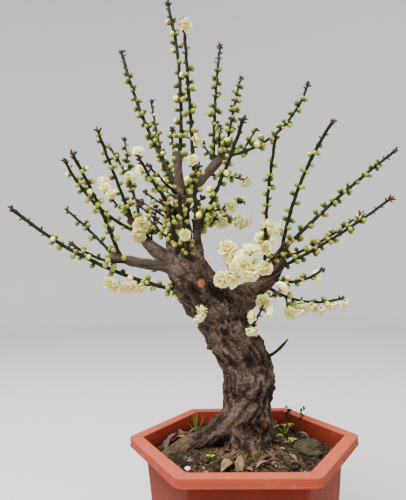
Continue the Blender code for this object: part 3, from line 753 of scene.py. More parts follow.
def makeTrunk():
    mesh = trunkShape()
    samples, tree = woodGuide()
    ends = sawnFaces()
    grains, moved = [], []
    shares = {name: [] for name in ("high", "sawn", "mossy", "young", "scar", "pale")}
    normals = [vertex.normal.copy() for vertex in mesh.vertices]
    for vertex, normal in zip(mesh.vertices, normals):
        spot = vertex.co.copy()
        _, number, _ = tree.find(spot)
        middle, direction, run, radius, paler = samples[number]
        shares["pale"].append(float(paler))
        offset = spot - middle
        forward = offset.dot(direction)
        grain = offset - direction * forward + up * (run + forward) * barkLook["grainStretch"]
        lump = noise.noise(spot * 45) * 0.7 + noise.noise(spot * 110) * 0.3
        wart = max(0, noise.noise(spot * 75 + up * 3) - 0.18) * 2.2
        ridge = 1 - 2 * abs(noise.noise(grain * 120)) - 0.7 * abs(noise.noise(grain * 260 + up))
        flake = noise.noise(spot * 520) * 0.6 + noise.noise(spot * 1150) * 0.4
        old = min(max((radius - 0.007) / 0.020, 0.12), 1)
        if spot.z < soilLevel + barkLook["oldReach"]:
            old = max(old, barkLook["oldest"])
        cut, flat = 0.0, Vector()
        for end, facing, width in ends:
            past = (spot - end).dot(facing)
            if past > -barkLook["sawStart"] and (spot - end).length < width * 1.5:
                cut = min((past + barkLook["sawStart"]) / 0.001, 1)
                flat = facing * (-past - barkLook["sawStart"] / 2)
        wound = spot - scarPlace
        wound = 1 - hypot(wound.x / scarSize.x, wound.y / scarSize.y, wound.z / scarSize.z)
        shares["scar"].append(max(wound, 0))
        lift = lump * barkLook["lumps"] + old * (ridge * barkLook["ridges"] + flake * barkLook["flakes"]
                                                 + wart * barkLook["warts"])
        if wound > -0.5:  # a sunk face inside a raised lip
            lip = 1 - abs(wound + 0.05) * 4 if abs(wound + 0.05) < 0.25 else 0
            lift = lift * min(abs(wound) * 2, 1) + barkLook["scarLip"] * lip
        moved += [*(spot + flat * cut * 0.8 + normal * lift * (1 - cut))]
        grains += [*grain]
        # how raised the bark is here; the bark's colour follows it with painted shade in crevices and painted
        # highlight on ridges
        shares["high"].append(min(max(0.5 + ridge * 0.28 + flake * 0.5 + lump * 0.35, 0), 1))
        shares["sawn"].append(cut)
        rise = (spot.z - soilLevel) / barkLook["oldReach"]
        leftRoot = max(0, 1 - rise) if spot.x < -0.015 else max(0, 0.55 - rise)
        topped = max(normal.z, 0) * 0.22 * (1 if leftRoot else 0.4)
        shares["mossy"].append(min(leftRoot * 0.55 + topped, 0.6))
        shares["young"].append(min(max((spot.z - soilLevel - barkLook["youngFrom"]) / 0.12, 0), 1))
    mesh.vertices.foreach_set("co", moved)
    layer = mesh.attributes.new("grain", "FLOAT_VECTOR", "POINT")
    layer.data.foreach_set("vector", grains)
    for name, values in shares.items():
        setShare(mesh, name, values)
    mesh.update()
    print("trunk vertices", len(mesh.vertices))
    addPiece("trunk_bark", mesh, ["bark"], ["trunk"])


makeTrunk()
print("trunk made")


# limb, share along it, heading and climb of the tip in degrees, length and sag in millimetres, thickness
shoots = {
    "shoot_left_1": ("leftLimb", 0.18, -165, 25, 278, 20, 1.15),
    "shoot_left_2": ("levelStub", 0.65, -147, 15, 87, 9, 0.85),
    "shoot_left_3": ("levelStub", 0.84, -118, 55, 150, -4, 1.0),
    "shoot_left_4": ("levelStub", 0.92, 167, 43, 99, -2, 0.85),
    "shoot_left_5": ("sideLimb", 0.70, -150, 42, 148, 15, 1.0),
    "shoot_side_1": ("sideLimb", 0.91, -135, 65, 143, 1, 1.05),
    "shoot_side_2": ("sideLimb", 0.98, 145, 43, 81, 2, 0.8),
    "shoot_side_3": ("sideLimb", 0.66, 136, 59, 184, -15, 0.95),
    "shoot_side_4": ("leftLimb", 0.80, -114, 32, 122, 5, 0.9),
    "shoot_side_5": ("leftLimb", 0.95, -122, 26, 79, 1, 0.75),
    "shoot_crown_1": ("leftLimb", 0.99, 145, 64, 275, 11, 1.15),
    "shoot_crown_2": ("leftLimb", 0.93, 112, 51, 274, 20, 1.0),
    "shoot_crown_3": ("crownStub", 0.86, 104, 53, 68, 12, 0.75),
    "shoot_crown_4": ("crownStub", 0.54, 150, 87, 252, -13, 1.1),
    "shoot_crown_5": ("innerStub", 0.93, -108, 83, 269, -3, 1.1),
    "shoot_crown_6": ("slantingStub", 0.70, 77, 73, 228, -10, 1.0),
    "shoot_crown_7": ("slantingStub", 0.95, 76, 52, 226, -4, 0.95),
    "shoot_crown_8": ("innerStub", 0.78, -59, 44, 168, 7, 1.05),
    "shoot_crown_9": ("slantingStub", 0.82, -86, 44, 55, -8, 0.7),
    "shoot_crown_10": ("slantingStub", 0.89, 12, 41, 184, 26, 1.0),
    "shoot_right_1": ("rightLimb", 0.54, -80, 68, 205, -18, 1.0),
    "shoot_right_2": ("rightLimb", 0.89, -47, 61, 200, -14, 1.15),
    "shoot_right_3": ("rightLimb", 0.97, 19, 38, 263, -4, 1.15),
    "shoot_right_4": ("rightLimb", 0.70, 8, 30, 215, 5, 1.05),
    "shoot_right_5": ("rightLimb", 0.83, 33, 24, 200, 7, 0.9),
    "shoot_right_6": ("rightLimb", 0.60, -38, 6, 84, 11, 0.9),
    "shoot_right_7": ("rightLimb", 0.50, 16, -11, 129, 15, 0.9),
    "shoot_low_1": ("trunk", 0.78, -56, 39, 80, 6, 0.7),
    "shoot_low_2": ("bareSpur", 0.90, -10, 20, 34, 2, 0.6),
    "shoot_low_3": ("trunk", 0.64, -25, 30, 66, 6, 0.95),
    "shoot_low_4": ("trunk", 0.99, -136, -2, 47, 1, 0.7),
    "shoot_front_1": ("leftLimb", 0.49, -105, 50, 79, 6, 0.85),
    "shoot_front_2": ("leftLimb", 0.31, -101, 58, 128, 5, 0.9),
    "shoot_front_3": ("leftLimb", 0.22, -41, 24, 90, 0, 0.9),
    "shoot_inner_1": ("innerStub", 0.94, 49, 20, 112, -4, 0.75),
    "shoot_inner_2": ("innerStub", 0.82, 59, 10, 128, -8, 0.75),
    "shoot_inner_3": ("slantingStub", 0.55, 45, 2, 86, -2, 0.75),
    "spur_left": ("shoot_left_1", 0.27, -155, 2, 62, 3, 0.75),
    "spur_side": ("shoot_side_3", 0.42, 112, 57, 118, 0, 0.7),
    "spur_crown": ("shoot_crown_10", 0.16, 50, 49, 58, 0, 0.7),
    "twig_centre": ("shoot_front_3", 0.62, 110, 72, 32, 2, 0.7),
    "twig_low": ("shoot_right_7", 0.30, -70, -62, 25, 1, 0.6),
    "spur_mid_1": ("leftLimb", 0.66, -165, 38, 74, 2, 0.65),
    "spur_mid_2": ("leftLimb", 0.74, 175, 34, 66, 0, 0.65),
    "spur_mid_3": ("leftLimb", 0.84, -150, 26, 60, 2, 0.65),
    "spur_mid_4": ("leftLimb", 0.60, -125, 55, 70, 0, 0.65),
    "spur_mid_5": ("leftLimb", 0.92, -170, 38, 46, 0, 0.6),
    "spur_mid_6": ("leftLimb", 0.72, -85, 44, 50, 0, 0.6),
    "spur_mid_7": ("leftLimb", 0.95, -60, 35, 42, 0, 0.6),
    "spur_mid_8": ("leftLimb", 0.80, -20, 38, 44, 0, 0.6),
    "spur_mid_9": ("slantingStub", 0.30, -75, 40, 40, 0, 0.6),
    "spur_mid_10": ("slantingStub", 0.74, 150, 60, 42, 0, 0.6),
    "spur_mid_11": ("shoot_right_1", 0.10, -60, 30, 30, 0, 0.6),
    "spur_mid_12": ("rightLimb", 0.80, -70, 48, 34, 0, 0.6),
    "spur_mid_13": ("sideLimb", 0.80, -80, 55, 46, 0, 0.6),
    "spur_mid_14": ("leftLimb", 0.52, -150, 45, 64, 0, 0.6),
    "spur_mid_15": ("leftLimb", 0.63, -178, 22, 36, 0, 0.6),
    "spur_mid_16": ("sideLimb", 0.50, -62, 62, 58, 0, 0.6),
    "spur_mid_17": ("leftLimb", 0.70, -140, 62, 66, 0, 0.6),
}
# the short ones that have no part of their own in the frame, and the family that each is drawn with
sideShoots = {"spur_left": "left", "spur_side": "side", "spur_crown": "crown", "twig_centre": "front",
              "twig_low": "right"}
sideShoots.update({name: "inner" for name in shoots if name.startswith("spur_mid")})
shootLook = {
    "thickness": 0.0050, "taper": 0.20, "step": 0.0040, "nodeGap": 0.0115, "sway": 0.00045, "knuckle": 0.26,
    "wander": 0.0012, "collar": 0.35, "collarLength": 0.006, "sides": 10,
}
lines = {}


def routeOf(name):
    return lines[name] if name in lines else limbRoute(name)


def shootLine(name):
    limb, along, heading, climb, length, sag, thickness = shoots[name]
    start, _, limbRadius = pointAlong(routeOf(limb), along)
    chord = towards(heading, climb)
    down = (chord * chord.z - up).normalized()
    side = chord.cross(down)
    count = max(6, round(length * mm / shootLook["step"]))
    seed = sum(ord(letter) for letter in name)
    line = []
    for step in range(count + 1):
        t = step / count
        run = t * length * mm
        place = start + (chord * length * t + down * sag * 4 * t * (1 - t)) * mm
        beat = run / shootLook["nodeGap"] + seed * 0.37
        sway = side * sin(beat * pi) * shootLook["sway"] * min(t * 6, 1)
        place += sway + down * noise.noise(Vector((t * 5, seed, 0))) * shootLook["wander"] * t
        knuckle = 1 + shootLook["knuckle"] * max(0, cos(beat * 2 * pi)) ** 4
        near = min(max(0, 1 - (run - limbRadius) / shootLook["collarLength"]), 1)
        base = 1 + shootLook["collar"] * near
        radius = shootLook["thickness"] / 2 * thickness * (1 - shootLook["taper"] * t) * knuckle * base
        line.append((*place, radius if step < count else radius * 0.5))
    lines[name] = line
    return line


def makeShoots():
    groups = {}
    for name in shoots:
        shootLine(name)
        family = sideShoots.get(name) or name.split("_")[1]
        groups.setdefault(family, []).append(name)
    for family, names in groups.items():
        routes = [lines[name] for name in names]
        mesh = tubes("shoots", routes, shootLook["sides"])
        points = [(Vector(point[:3]), step / (len(route) - 1)) for route in routes
                  for step, point in enumerate(route)]
        tree = treeOf([spot for spot, _ in points])
        setShare(mesh, "ripe", [points[tree.find(vertex.co)[1]][1] for vertex in mesh.vertices])
        nodes = [name for name in names if name not in sideShoots]
        addPiece("shoots_" + family, mesh, ["shoot"], nodes)
    return groups


families = makeShoots()
print("shoots made")


bloomLook = {
    "half": 0.01325, "petalWall": 0.00022, "sepalWall": 0.0003, "closedShare": 0.47,
    # petals in a ring, their length and width in millimetres, their tilt, and the ring's height
    "rings": [(5, 11.6, 10.8, -12, 4.9), (5, 12.2, 11.2, 10, 5.2), (5, 10.8, 10.0, 28, 5.8),
              (5, 8.8, 8.4, 46, 6.3), (4, 6.4, 6.0, 64, 6.6)],
    "stamens": 15,
}


def petalMesh(length, width, cup):
    shape = bmesh.new()
    bmesh.ops.create_grid(shape, x_segments=4, y_segments=4, size=0.5)
    seed = Vector((random.random() * 9, random.random() * 9, 0))
    for vertex in shape.verts:
        u, v = vertex.co.x + 0.5, vertex.co.y * 2
        half = width / 2 * (0.20 + 0.80 * sin(pi * (0.06 + 0.70 * u)) ** 0.9) * (1 if u > 0 else 0.5)
        run = length * (u - 0.17 * v * v * u)
        crease = noise.noise(Vector((u * 2, v * 1.5, 0)) + seed) * 0.17 * length * u
        lift = cup * length * (u * u * 0.30 + v * v * 0.20 * (0.4 + u)) + crease
        vertex.co = Vector((run, v * half, lift)) * mm
    thicken(shape, bloomLook["petalWall"])
    return patternFrom(shape, "petalPattern", lambda co: min(hypot(*co.xy) / bloomLook["half"], 1), True)


def roundMesh(radius, high, look, sides=8, rows=6, lean=0.0):  # a small round body standing on z = 0
    shape = bmesh.new()
    bmesh.ops.create_uvsphere(shape, u_segments=sides, v_segments=rows, radius=radius)
    for vertex in shape.verts:
        share = vertex.co.z / radius / 2 + 0.5
        narrow = 1 - lean * share
        vertex.co = Vector((vertex.co.x * narrow, vertex.co.y * narrow, share * high))
    full = bloomLook["closedShare"] if look == 0 else 1  # closed petals stay yellower than open ones
    return patternFrom(shape, "roundPattern", lambda co: co.z / high * full)


def stick(shape, mesh, matrix, look):  # adds a placed copy of the mesh, in one of the piece's materials
    copy = mesh.copy()
    copy.transform(matrix)
    before = len(shape.faces)
    shape.from_mesh(copy)
    bpy.data.meshes.remove(copy)
    shape.faces.ensure_lookup_table()
    for face in shape.faces[before:]:
        face.material_index = look


def stalkMesh(radius, length, sides=5):
    shape = bmesh.new()
    bmesh.ops.create_cone(shape, cap_ends=True, segments=sides, radius1=radius, radius2=radius * 0.9,
                          depth=length, matrix=Matrix.Translation((0, 0, length / 2)))
    for face in shape.faces:
        face.material_index = 1
    return patternFrom(shape, "stalkPattern", lambda co: 0.15 + 0.3 * co.z / length)


def sepalMesh(length, width):
    shape = bmesh.new()
    bmesh.ops.create_grid(shape, x_segments=3, y_segments=2, size=0.5)
    for vertex in shape.verts:
        u, v = vertex.co.x + 0.5, vertex.co.y * 2
        half = width / 2 * (0.75 + 0.25 * sin(pi * u)) * (1 - 0.65 * u ** 3)
        vertex.co = Vector((length * u, v * half, length * (0.10 * v * v + 0.12 * u * u))) * mm
    thicken(shape, bloomLook["sepalWall"])
    return patternFrom(shape, "sepalPattern", lambda co: 0.35 + 0.4 * co.x / (length * mm), True)


def blossomMesh(openness):  # material 0 petal, 1 calyx, 2 filament, 3 anther
    shape = bmesh.new()
    stick(shape, stalkMesh(0.0011, 0.0045), Matrix.Identity(4), 1)
    stick(shape, roundMesh(0.0030, 0.0042, 1, 8, 5), Matrix.Translation((0, 0, 0.0022)), 1)
    sepal = sepalMesh(5.6, 4.4)
    for number in range(5):
        place = Matrix.Translation((0, 0, 0.0044)) @ Matrix.Rotation(radians(72 * number + 20), 4, "Z")
        stick(shape, sepal, place @ Matrix.Rotation(radians(-8), 4, "Y"), 1)
    for ring, (count, length, width, tilt, height) in enumerate(bloomLook["rings"]):
        for number in range(count):
            petal = petalMesh(length * random.uniform(0.93, 1.05), width * random.uniform(0.92, 1.06), 1.0)
            lean = tilt + (1 - openness) * 30 + random.uniform(-6, 6)
            turn = 2 * pi * (number + ring * 0.37) / count + random.uniform(-0.12, 0.12)
            place = Matrix.Translation((0, 0, height * mm)) @ Matrix.Rotation(turn, 4, "Z")
            roll = Matrix.Rotation(radians(random.uniform(-8, 8)), 4, "X")
            stick(shape, petal, place @ Matrix.Rotation(radians(-lean), 4, "Y") @ roll, 0)
    stick(shape, roundMesh(0.0017, 0.0026, 1, 6, 4), Matrix.Translation((0, 0, 0.0062)), 1)
    thread = stalkMesh(0.00016, 0.0052, 3)
    head = roundMesh(0.00048, 0.0008, 3, 5, 3)
    for number in range(bloomLook["stamens"]):
        angle = number * 2.399
        spread = 10 + 38 * (number / bloomLook["stamens"]) ** 0.6
        lean = towards(angle * 180 / pi, 90 - spread)
        reach = random.uniform(0.8, 1.12)
        stick(shape, thread, placed(Vector((0, 0, 0.0066)), lean, reach), 2)
        stick(shape, head, placed(Vector((0, 0, 0.0066)) + lean * 0.0051 * reach, lean), 3)
    return meshFrom(shape, "blossomPattern")


def budMesh(kind):  # material 0 petal, 1 calyx, 2 scale
    shape = bmesh.new()
    if kind == "green":
        stick(shape, roundMesh(0.0029, 0.0060, 1, 8, 6, 0.12), Matrix.Translation((0, 0, 0.0008)), 1)
        stick(shape, roundMesh(0.0019, 0.0026, 2, 6, 4, 0.1), Matrix.Identity(4), 2)
    elif kind == "swollen":
        stick(shape, roundMesh(0.0032, 0.0058, 0, 9, 6), Matrix.Translation((0, 0, 0.0022)), 0)
        stick(shape, roundMesh(0.0031, 0.0046, 1, 8, 5), Matrix.Translation((0, 0, 0.0008)), 1)
        stick(shape, roundMesh(0.0019, 0.0024, 2, 6, 3), Matrix.Identity(4), 2)
        sepal = sepalMesh(4.2, 3.8)
        for number in range(5):
            turn = Matrix.Rotation(radians(72 * number), 4, "Z")
            place = Matrix.Translation((0, 0, 0.0022)) @ turn @ Matrix.Translation((0.0020, 0, 0))
            stick(shape, sepal, place @ Matrix.Rotation(radians(-62), 4, "Y"), 1)
    else:
        stick(shape, roundMesh(0.0011, 0.0036, 2, 6, 4, 0.35), Matrix.Identity(4), 2)
    return meshFrom(shape, "budPattern")


# blossoms by the frame's node, or under a "more" name where it has none:
# shoot, share along it, heading and climb that it faces, size, and for some a stalk in millimetres
blossoms = {
    "blossom_top": [("shoot_crown_5", 0.96, -70, 10, 0.8)],
    "blossom_crown": [("shoot_crown_5", 0.41, -35, 10, 0.8)],
    "blossom_left_double": [("shoot_side_3", 0.11, -75, -12, 1.15, 6),
                            ("shoot_side_3", 0.06, -100, -35, 1.05, 9)],
    "blossoms_left": [("shoot_side_2", 0.72, -60, 10, 0.85), ("shoot_side_2", 0.93, -110, 40, 0.85)],
    "blossoms_left_low": [("spur_left", 0.62, -70, -25, 0.75), ("spur_left", 0.80, -100, -10, 0.75),
                          ("spur_left", 0.95, -120, 10, 0.75)],
    "blossoms_centre": [("shoot_front_3", 0.98, -95, 45, 1.1), ("shoot_front_3", 0.86, -120, -20, 1.1),
                        ("shoot_front_3", 0.99, 0, -10, 1.05), ("shoot_front_3", 0.80, -60, -80, 0.95)],
    "blossoms_centre_back": [("shoot_right_1", 0.29, 0, 10, 0.9), ("shoot_right_1", 0.32, 70, 10, 0.9),
                             ("shoot_right_1", 0.28, 140, 0, 0.9)],
    "blossoms_inner": [("shoot_inner_2", 0.80, -60, -20, 0.9), ("shoot_inner_2", 0.94, 20, -30, 0.9)],
    "blossom_inner_tip": [("shoot_inner_3", 0.92, -40, -50, 0.8)],
    "blossoms_right_low": [("shoot_right_7", 0.47, -60, -60, 0.85), ("shoot_right_7", 0.58, -100, -40, 0.85)],
    "blossoms_right_tip": [("shoot_right_7", 0.84, -60, -60, 0.8), ("shoot_right_7", 0.97, -20, -40, 0.8)],
    "blossom_low": [("shoot_low_1", 0.80, -160, 10, 0.75)],
    "blossoms_trunk": [("shoot_low_4", 0.90, -110, -25, 0.8), ("shoot_low_4", 0.84, -70, 30, 0.85)],
    "more_left": [("shoot_side_2", 0.99, 175, 75, 0.85, 6), ("spur_side", 0.19, -90, 15, 0.75, 2),
                  ("shoot_side_4", 0.78, 180, 10, 0.8, 3), ("shoot_side_4", 0.96, -100, 60, 0.75, 3),
                  ("spur_left", 0.43, -80, -20, 0.75, 1), ("spur_left", 0.29, -60, -30, 0.75, 1)],
    "more_crown": [("shoot_front_2", 0.57, -90, 0, 0.7, 1), ("shoot_crown_5", 0.30, -90, 10, 0.7, 1)],
    "more_centre": [("twig_centre", 0.95, -90, 20, 1.1, 1), ("shoot_front_3", 0.99, -40, 70, 1.1, 7),
                    ("shoot_front_3", 0.50, -110, -20, 1.0, 2), ("shoot_front_3", 0.84, -40, -60, 1.0, 4),
                    ("shoot_right_1", 0.07, -90, 20, 1.0, 3), ("shoot_right_1", 0.22, -90, 0, 0.95, 2),
                    ("shoot_right_2", 0.18, 180, 10, 0.85, 3), ("shoot_right_1", 0.36, -60, 40, 0.85, 2),
                    ("shoot_inner_2", 0.54, -90, -40, 0.9, 3), ("shoot_inner_1", 0.72, -90, -20, 0.85, 3),
                    ("shoot_inner_2", 0.98, -10, 0, 0.9, 4), ("shoot_front_3", 0.92, -95, -8, 1.1, 5),
                    ("shoot_front_3", 0.70, -95, -35, 1.1, 5), ("twig_centre", 0.50, -60, 10, 1.05, 5),
                    ("shoot_front_3", 0.96, -70, -55, 1.1, 8)],
    "more_right": [("shoot_low_2", 0.38, -90, -10, 0.9, 1), ("shoot_low_2", 0.98, 20, 40, 0.9, 3),
                   ("shoot_low_1", 0.94, 0, -20, 0.8, 3), ("shoot_low_1", 0.61, -100, -50, 0.8, 2),
                   ("twig_low", 0.95, -90, -20, 0.85, 1), ("shoot_right_7", 0.48, -90, -75, 0.85, 9),
                   ("shoot_right_6", 0.74, 0, 10, 0.8, 4), ("shoot_right_7", 0.69, -90, -60, 0.85, 6)],
}
budLook = {
    "gap": 0.0112, "double": 0.72, "triple": 0.26, "swollen": 0.11, "clearance": 0.0095, "size": 1.52,
    "firstBud": 0.008, "lastBud": 0.004, "spiral": 144, "tipBuds": 5,
}
bareShoot = "shoot_low_3"  # a dead one, without buds


def makeBlossoms():
    patterns = [blossomMesh(openness) for openness in (1.0, 0.9, 0.75)]
    taken = []
    for name, members in blossoms.items():
        copies = []
        for number, (shoot, along, heading, climb, size, *reach) in enumerate(members):
            spot, direction, radius = pointAlong(lines[shoot], along)
            facing = towards(heading, climb)
            if reach:  # on a longer stalk of its own, free to bend away
                foot = spot + facing * reach[0] * mm
                copies.append((stalkMesh(0.0008, reach[0] * mm + 0.001), placed(spot, facing), 0.2))
            else:
                facing = (facing - direction * facing.dot(direction)).normalized()
                foot = spot + facing * radius * 0.7
            pattern = patterns[0 if size > 0.95 else 1 + number % 2]
            copies.append((pattern, placed(foot, facing, size, random.uniform(0, 2 * pi)), 0.2))
            taken.append(foot + facing * 0.006)
        mesh = gather(name, copies)
        nodes = [name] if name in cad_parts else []
        piece = name.replace("blossoms_", "").replace("blossom_", "")
        addPiece("bloom_" + piece, mesh, ["petal", "calyx", "filament", "anther"], nodes)
    return taken


def turnedAbout(direction, angle, start=None):  # a sideways direction, turned about the shoot
    out = (start or direction.orthogonal()).copy()
    out.rotate(Matrix.Rotation(angle, 3, direction))
    return out


def budsAlong(name, taken, turn):  # the buds in ones to threes, and the turn that the last one reached
    copies = []
    route = lines[name]
    length = sum((Vector(b[:3]) - Vector(a[:3])).length for a, b in zip(route, route[1:]))
    limb, along = shoots[name][:2]
    run = pointAlong(routeOf(limb), along)[2] + budLook["firstBud"]
    ripeEnd = random.uniform(0.74, 0.96)
    while run < length - budLook["lastBud"] and name != bareShoot:
        t = run / length
        spot, direction, radius = pointAlong(route, t)
        side = turnedAbout(direction, turn)
        clear = all((spot - other).length > budLook["clearance"] for other in taken)
        draw = random.random()
        count = 3 if draw < budLook["triple"] else 2 if draw < budLook["double"] else 1
        late = t > ripeEnd
        for number in range(1 if late else count):
            out = turnedAbout(direction, (number - (count - 1) / 2) * 1.1, side)
            facing = (out + direction * random.uniform(0.35, 0.8)).normalized()
            if late or not clear:
                kind, size = "scaly", random.uniform(1.1, 1.6)
            else:
                kind = "swollen" if random.random() < budLook["swollen"] else "green"
                size = budLook["size"] * random.uniform(0.72, 1.10) * (1.04 - 0.36 * t)
            matrix = placed(spot + out * radius * 0.75, facing, size, random.uniform(0, 6))
            copies.append((budPatterns[kind], matrix, random.random() ** 2))
        turn += radians(budLook["spiral"]) + random.uniform(-0.3, 0.3)
        run += budLook["gap"] * random.uniform(0.75, 1.25) * (0.6 if late else 0.85 if t > 0.5 else 1)
    return copies, turn


def tipKnot(name, turn):  # the knot of scaly buds that ends a shoot
    spot, direction, radius = pointAlong(lines[name], 1)
    copies = [(budPatterns["scaly"], placed(spot - direction * 0.001, direction, 1.5), 0.0)]
    for number in range(budLook["tipBuds"] if name != bareShoot else 0):
        out = turnedAbout(direction, 2 * pi * number / budLook["tipBuds"] + turn)
        lean = (direction * random.uniform(0.5, 1.2) + out).normalized()
        foot = spot - direction * random.uniform(0.001, 0.006) + out * radius * 0.5
        copies.append((budPatterns["scaly"], placed(foot, lean, random.uniform(1.3, 2.1)), 0.0))
    return copies


def makeBuds(taken):
    for family, names in families.items():
        copies = []
        for name in names:
            buds, turn = budsAlong(name, taken, random.uniform(0, 2 * pi))
            copies += buds + tipKnot(name, turn)
        addPiece("buds_" + family, gather("buds", copies), ["petal", "calyx", "scale"])
        print("buds", family, len(copies))


taken = makeBlossoms()
budPatterns = {kind: budMesh(kind) for kind in ("green", "swollen", "scaly")}
makeBuds(taken)
print("blossoms and buds made")


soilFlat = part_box("soil")[1].y


def soilTop(x, y):
    out = min(hypot(x, y) / (mouthCorner * across), 1)
    lumps = noise.noise(Vector((x, y, 0.3)) * 28) * 0.0016
    return soilLevel + soil["mound"] * (1 - out * out) + lumps * (1 - out)


def crumbs(x, y):  # the loose surface over it
    spot = Vector((x, y, 0))
    return (noise.noise(spot * 70) * 0.0016 + noise.noise(spot * 190) * 0.0012
            + abs(noise.noise(spot * 430)) * 0.0012 - 0.0004)


def surface(x, y, above=0.0):
    return Vector((x, y, soilTop(x, y) + crumbs(x, y) + above))


def inset(x, y):  # how far inside the pot's wall
    return soilFlat - max(abs(y), abs(x) * across + abs(y) / 2)


def randomSpot(margin):
    while True:
        x, y = random.uniform(-1, 1) * soilFlat / across, random.uniform(-1, 1) * soilFlat
        if inset(x, y) > margin:
            return x, y


def makeSoil():
    shape = bmesh.new()
    bmesh.ops.create_grid(shape, x_segments=soil["cells"], y_segments=soil["cells"], size=soilFlat / across)
    for number in range(6):
        side = towards(60 * number + 30, 0)
        bmesh.ops.bisect_plane(shape, geom=everything(shape), dist=1e-6, plane_co=side * (soilFlat - 0.0001),
                               plane_no=side, clear_outer=True)
    for vertex in shape.verts:
        vertex.co = surface(vertex.co.x, vertex.co.y)
    for vertex in pulled(shape, [edge for edge in shape.edges if edge.is_boundary])[1]:
        vertex.co.z = soilLevel - soil["depth"]
        vertex.co.xy *= 0.985
    closeHoles(shape)
    addPiece("soil_bed", meshFrom(shape, "soilBed", True), ["soil"], ["soil"])


def crumbMesh(seed, fineness):
    shape = bmesh.new()
    bmesh.ops.create_icosphere(shape, subdivisions=fineness, radius=0.5)
    for vertex in shape.verts:
        vertex.co *= 1 + 0.45 * noise.noise(vertex.co * 2.3 + Vector((seed, 0, 0)))
    return patternFrom(shape, "crumbPattern")


crumbLayers = {
    "soil_grains": {"count": 6500, "seeds": (0, 1, 2, 3, 4), "fineness": 1, "margin": 0.004,
                    "least": 0.0012, "range": 0.0042, "power": 3.2, "thickest": 0.8, "lift": 0.12,
                    "tilt": 35, "palest": 1},
    "soil_lumps": {"count": 420, "seeds": (1, 4.7, 8.4, 12.1), "fineness": 2, "margin": 0.008,
                   "least": 0.0045, "range": 0.0075, "power": 2.2, "thickest": 0.75, "lift": 0.08,
                   "tilt": 50, "palest": 0.6},
}


def scatterCrumbs(name, layer):
    patterns = [crumbMesh(seed, layer["fineness"]) for seed in layer["seeds"]]
    copies = []
    for number in range(layer["count"]):
        x, y = randomSpot(layer["margin"])
        size = layer["least"] + layer["range"] * random.random() ** layer["power"]
        wide, thick = random.uniform(0.6, 1), random.uniform(0.4, layer["thickest"])
        squash = Matrix.Diagonal((size, size * wide, size * thick, 1))
        facing = towards(random.uniform(0, 360), random.uniform(layer["tilt"], 90))
        turn = placed(surface(x, y, size * layer["lift"]), facing, 1, random.uniform(0, 6))
        copies.append((patterns[number % len(patterns)], turn @ squash, random.random() * layer["palest"]))
    addPiece(name, gather(name, copies), ["grains"], smooth=layer["fineness"] > 1)


def fibre(x, y, heading, length, radius, lift=0.0006):
    route = []
    count = max(5, int(length / 0.004))
    for step in range(count + 1):
        t = step / count
        place = surface(x, y, lift + radius * 0.4 + 0.0010 * abs(noise.noise(Vector((x, y, 0.7)) * 160)))
        route.append((*place, radius * (1 - 0.6 * t)))
        heading += random.uniform(-0.34, 0.34)
        x += cos(heading) * length / count
        y += sin(heading) * length / count
        if inset(x, y) < 0.005:
            break
    return route


# where the larger dead twigs lie: x, y, heading, length and radius
twigSpots = [(-0.112, 0.010, 15, 0.024, 0.0011), (0.040, -0.088, 160, 0.030, 0.0009),
             (-0.050, -0.062, 60, 0.022, 0.0008), (0.072, 0.010, -40, 0.026, 0.0009),
             (0.020, 0.078, 20, 0.034, 0.0010), (-0.030, 0.084, -35, 0.026, 0.0008),
             (0.052, -0.060, 110, 0.020, 0.0008), (-0.088, 0.040, 80, 0.022, 0.0009)]


def scatterFibres():
    routes = []
    for number in range(soil["feedingRoots"]):  # they fan out in front of the trunk
        fan = random.uniform(-165, -20)
        start = towards(fan, 0) * random.uniform(0.030, 0.046)
        heading = radians(fan + random.uniform(-25, 25))
        routes.append(fibre(start.x + 0.006, start.y, heading, random.uniform(0.014, 0.056),
                            random.uniform(0.0003, 0.0015)))
    for number in range(soil["fibres"]):
        x, y = randomSpot(0.012)
        routes.append(fibre(x, y, random.uniform(0, 6.28), random.uniform(0.008, 0.030),
                            random.uniform(0.0002, 0.0006)))
    routes = [route for route in routes if len(route) > 3]
    addPiece("root_fibres", tubes("rootFibres", routes, 6), ["rootlet"])
    twigs = [fibre(x, y, radians(turn), length * 1.5, radius * 1.4, 0.0030)
             for x, y, turn, length, radius in twigSpots]
    addPiece("fallen_twigs", tubes("fallenTwigs", twigs, 6), ["twig"])


def leafMesh(length, width, curl, wall=0.00035, curve=0.35):
    shape = bmesh.new()
    bmesh.ops.create_grid(shape, x_segments=14, y_segments=6, size=0.5)
    for vertex in shape.verts:
        u, v = vertex.co.x * 2, vertex.co.y * 2
        taper = max(1 - abs(u) ** 2.4, 0.04)
        crisp = noise.noise(Vector((u * 2.3, v * 1.7, length * 90))) * 0.10 * width
        vertex.co = Vector((u * length / 2, v * width / 2 * taper,
                            curl * (1 - u * u) + abs(v) ** 1.4 * width * curve * taper + crisp))
    thicken(shape, wall)
    return patternFrom(shape, "leafPattern", lambda co: min(abs(co.x) / (length / 2), 1), True)


def centreOf(node):
    low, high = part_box(node)
    return (low + high) / 2


# half-buried leaves that stand up: x, y, heading, lean in degrees, size, darkness
curledLeaves = [(-0.098, 0.022, 30, 48, 1.2, 0.95), (-0.088, 0.034, 120, 55, 1.1, 0.90),
                (-0.078, 0.020, 200, 35, 1.2, 0.80), (-0.104, 0.006, 80, 30, 1.0, 0.90),
                (-0.070, 0.046, 10, 50, 1.0, 0.70), (-0.052, 0.062, 300, 40, 1.1, 0.90),
                (-0.086, 0.012, 330, 20, 1.2, 0.45), (0.050, 0.066, 60, 45, 1.1, 0.90),
                (0.086, 0.030, 150, 30, 0.9, 0.80), (0.020, -0.074, 20, 16, 0.9, 0.55),
                (0.058, -0.052, 130, 24, 0.8, 0.70), (-0.020, 0.086, 90, 40, 1.0, 0.85)]


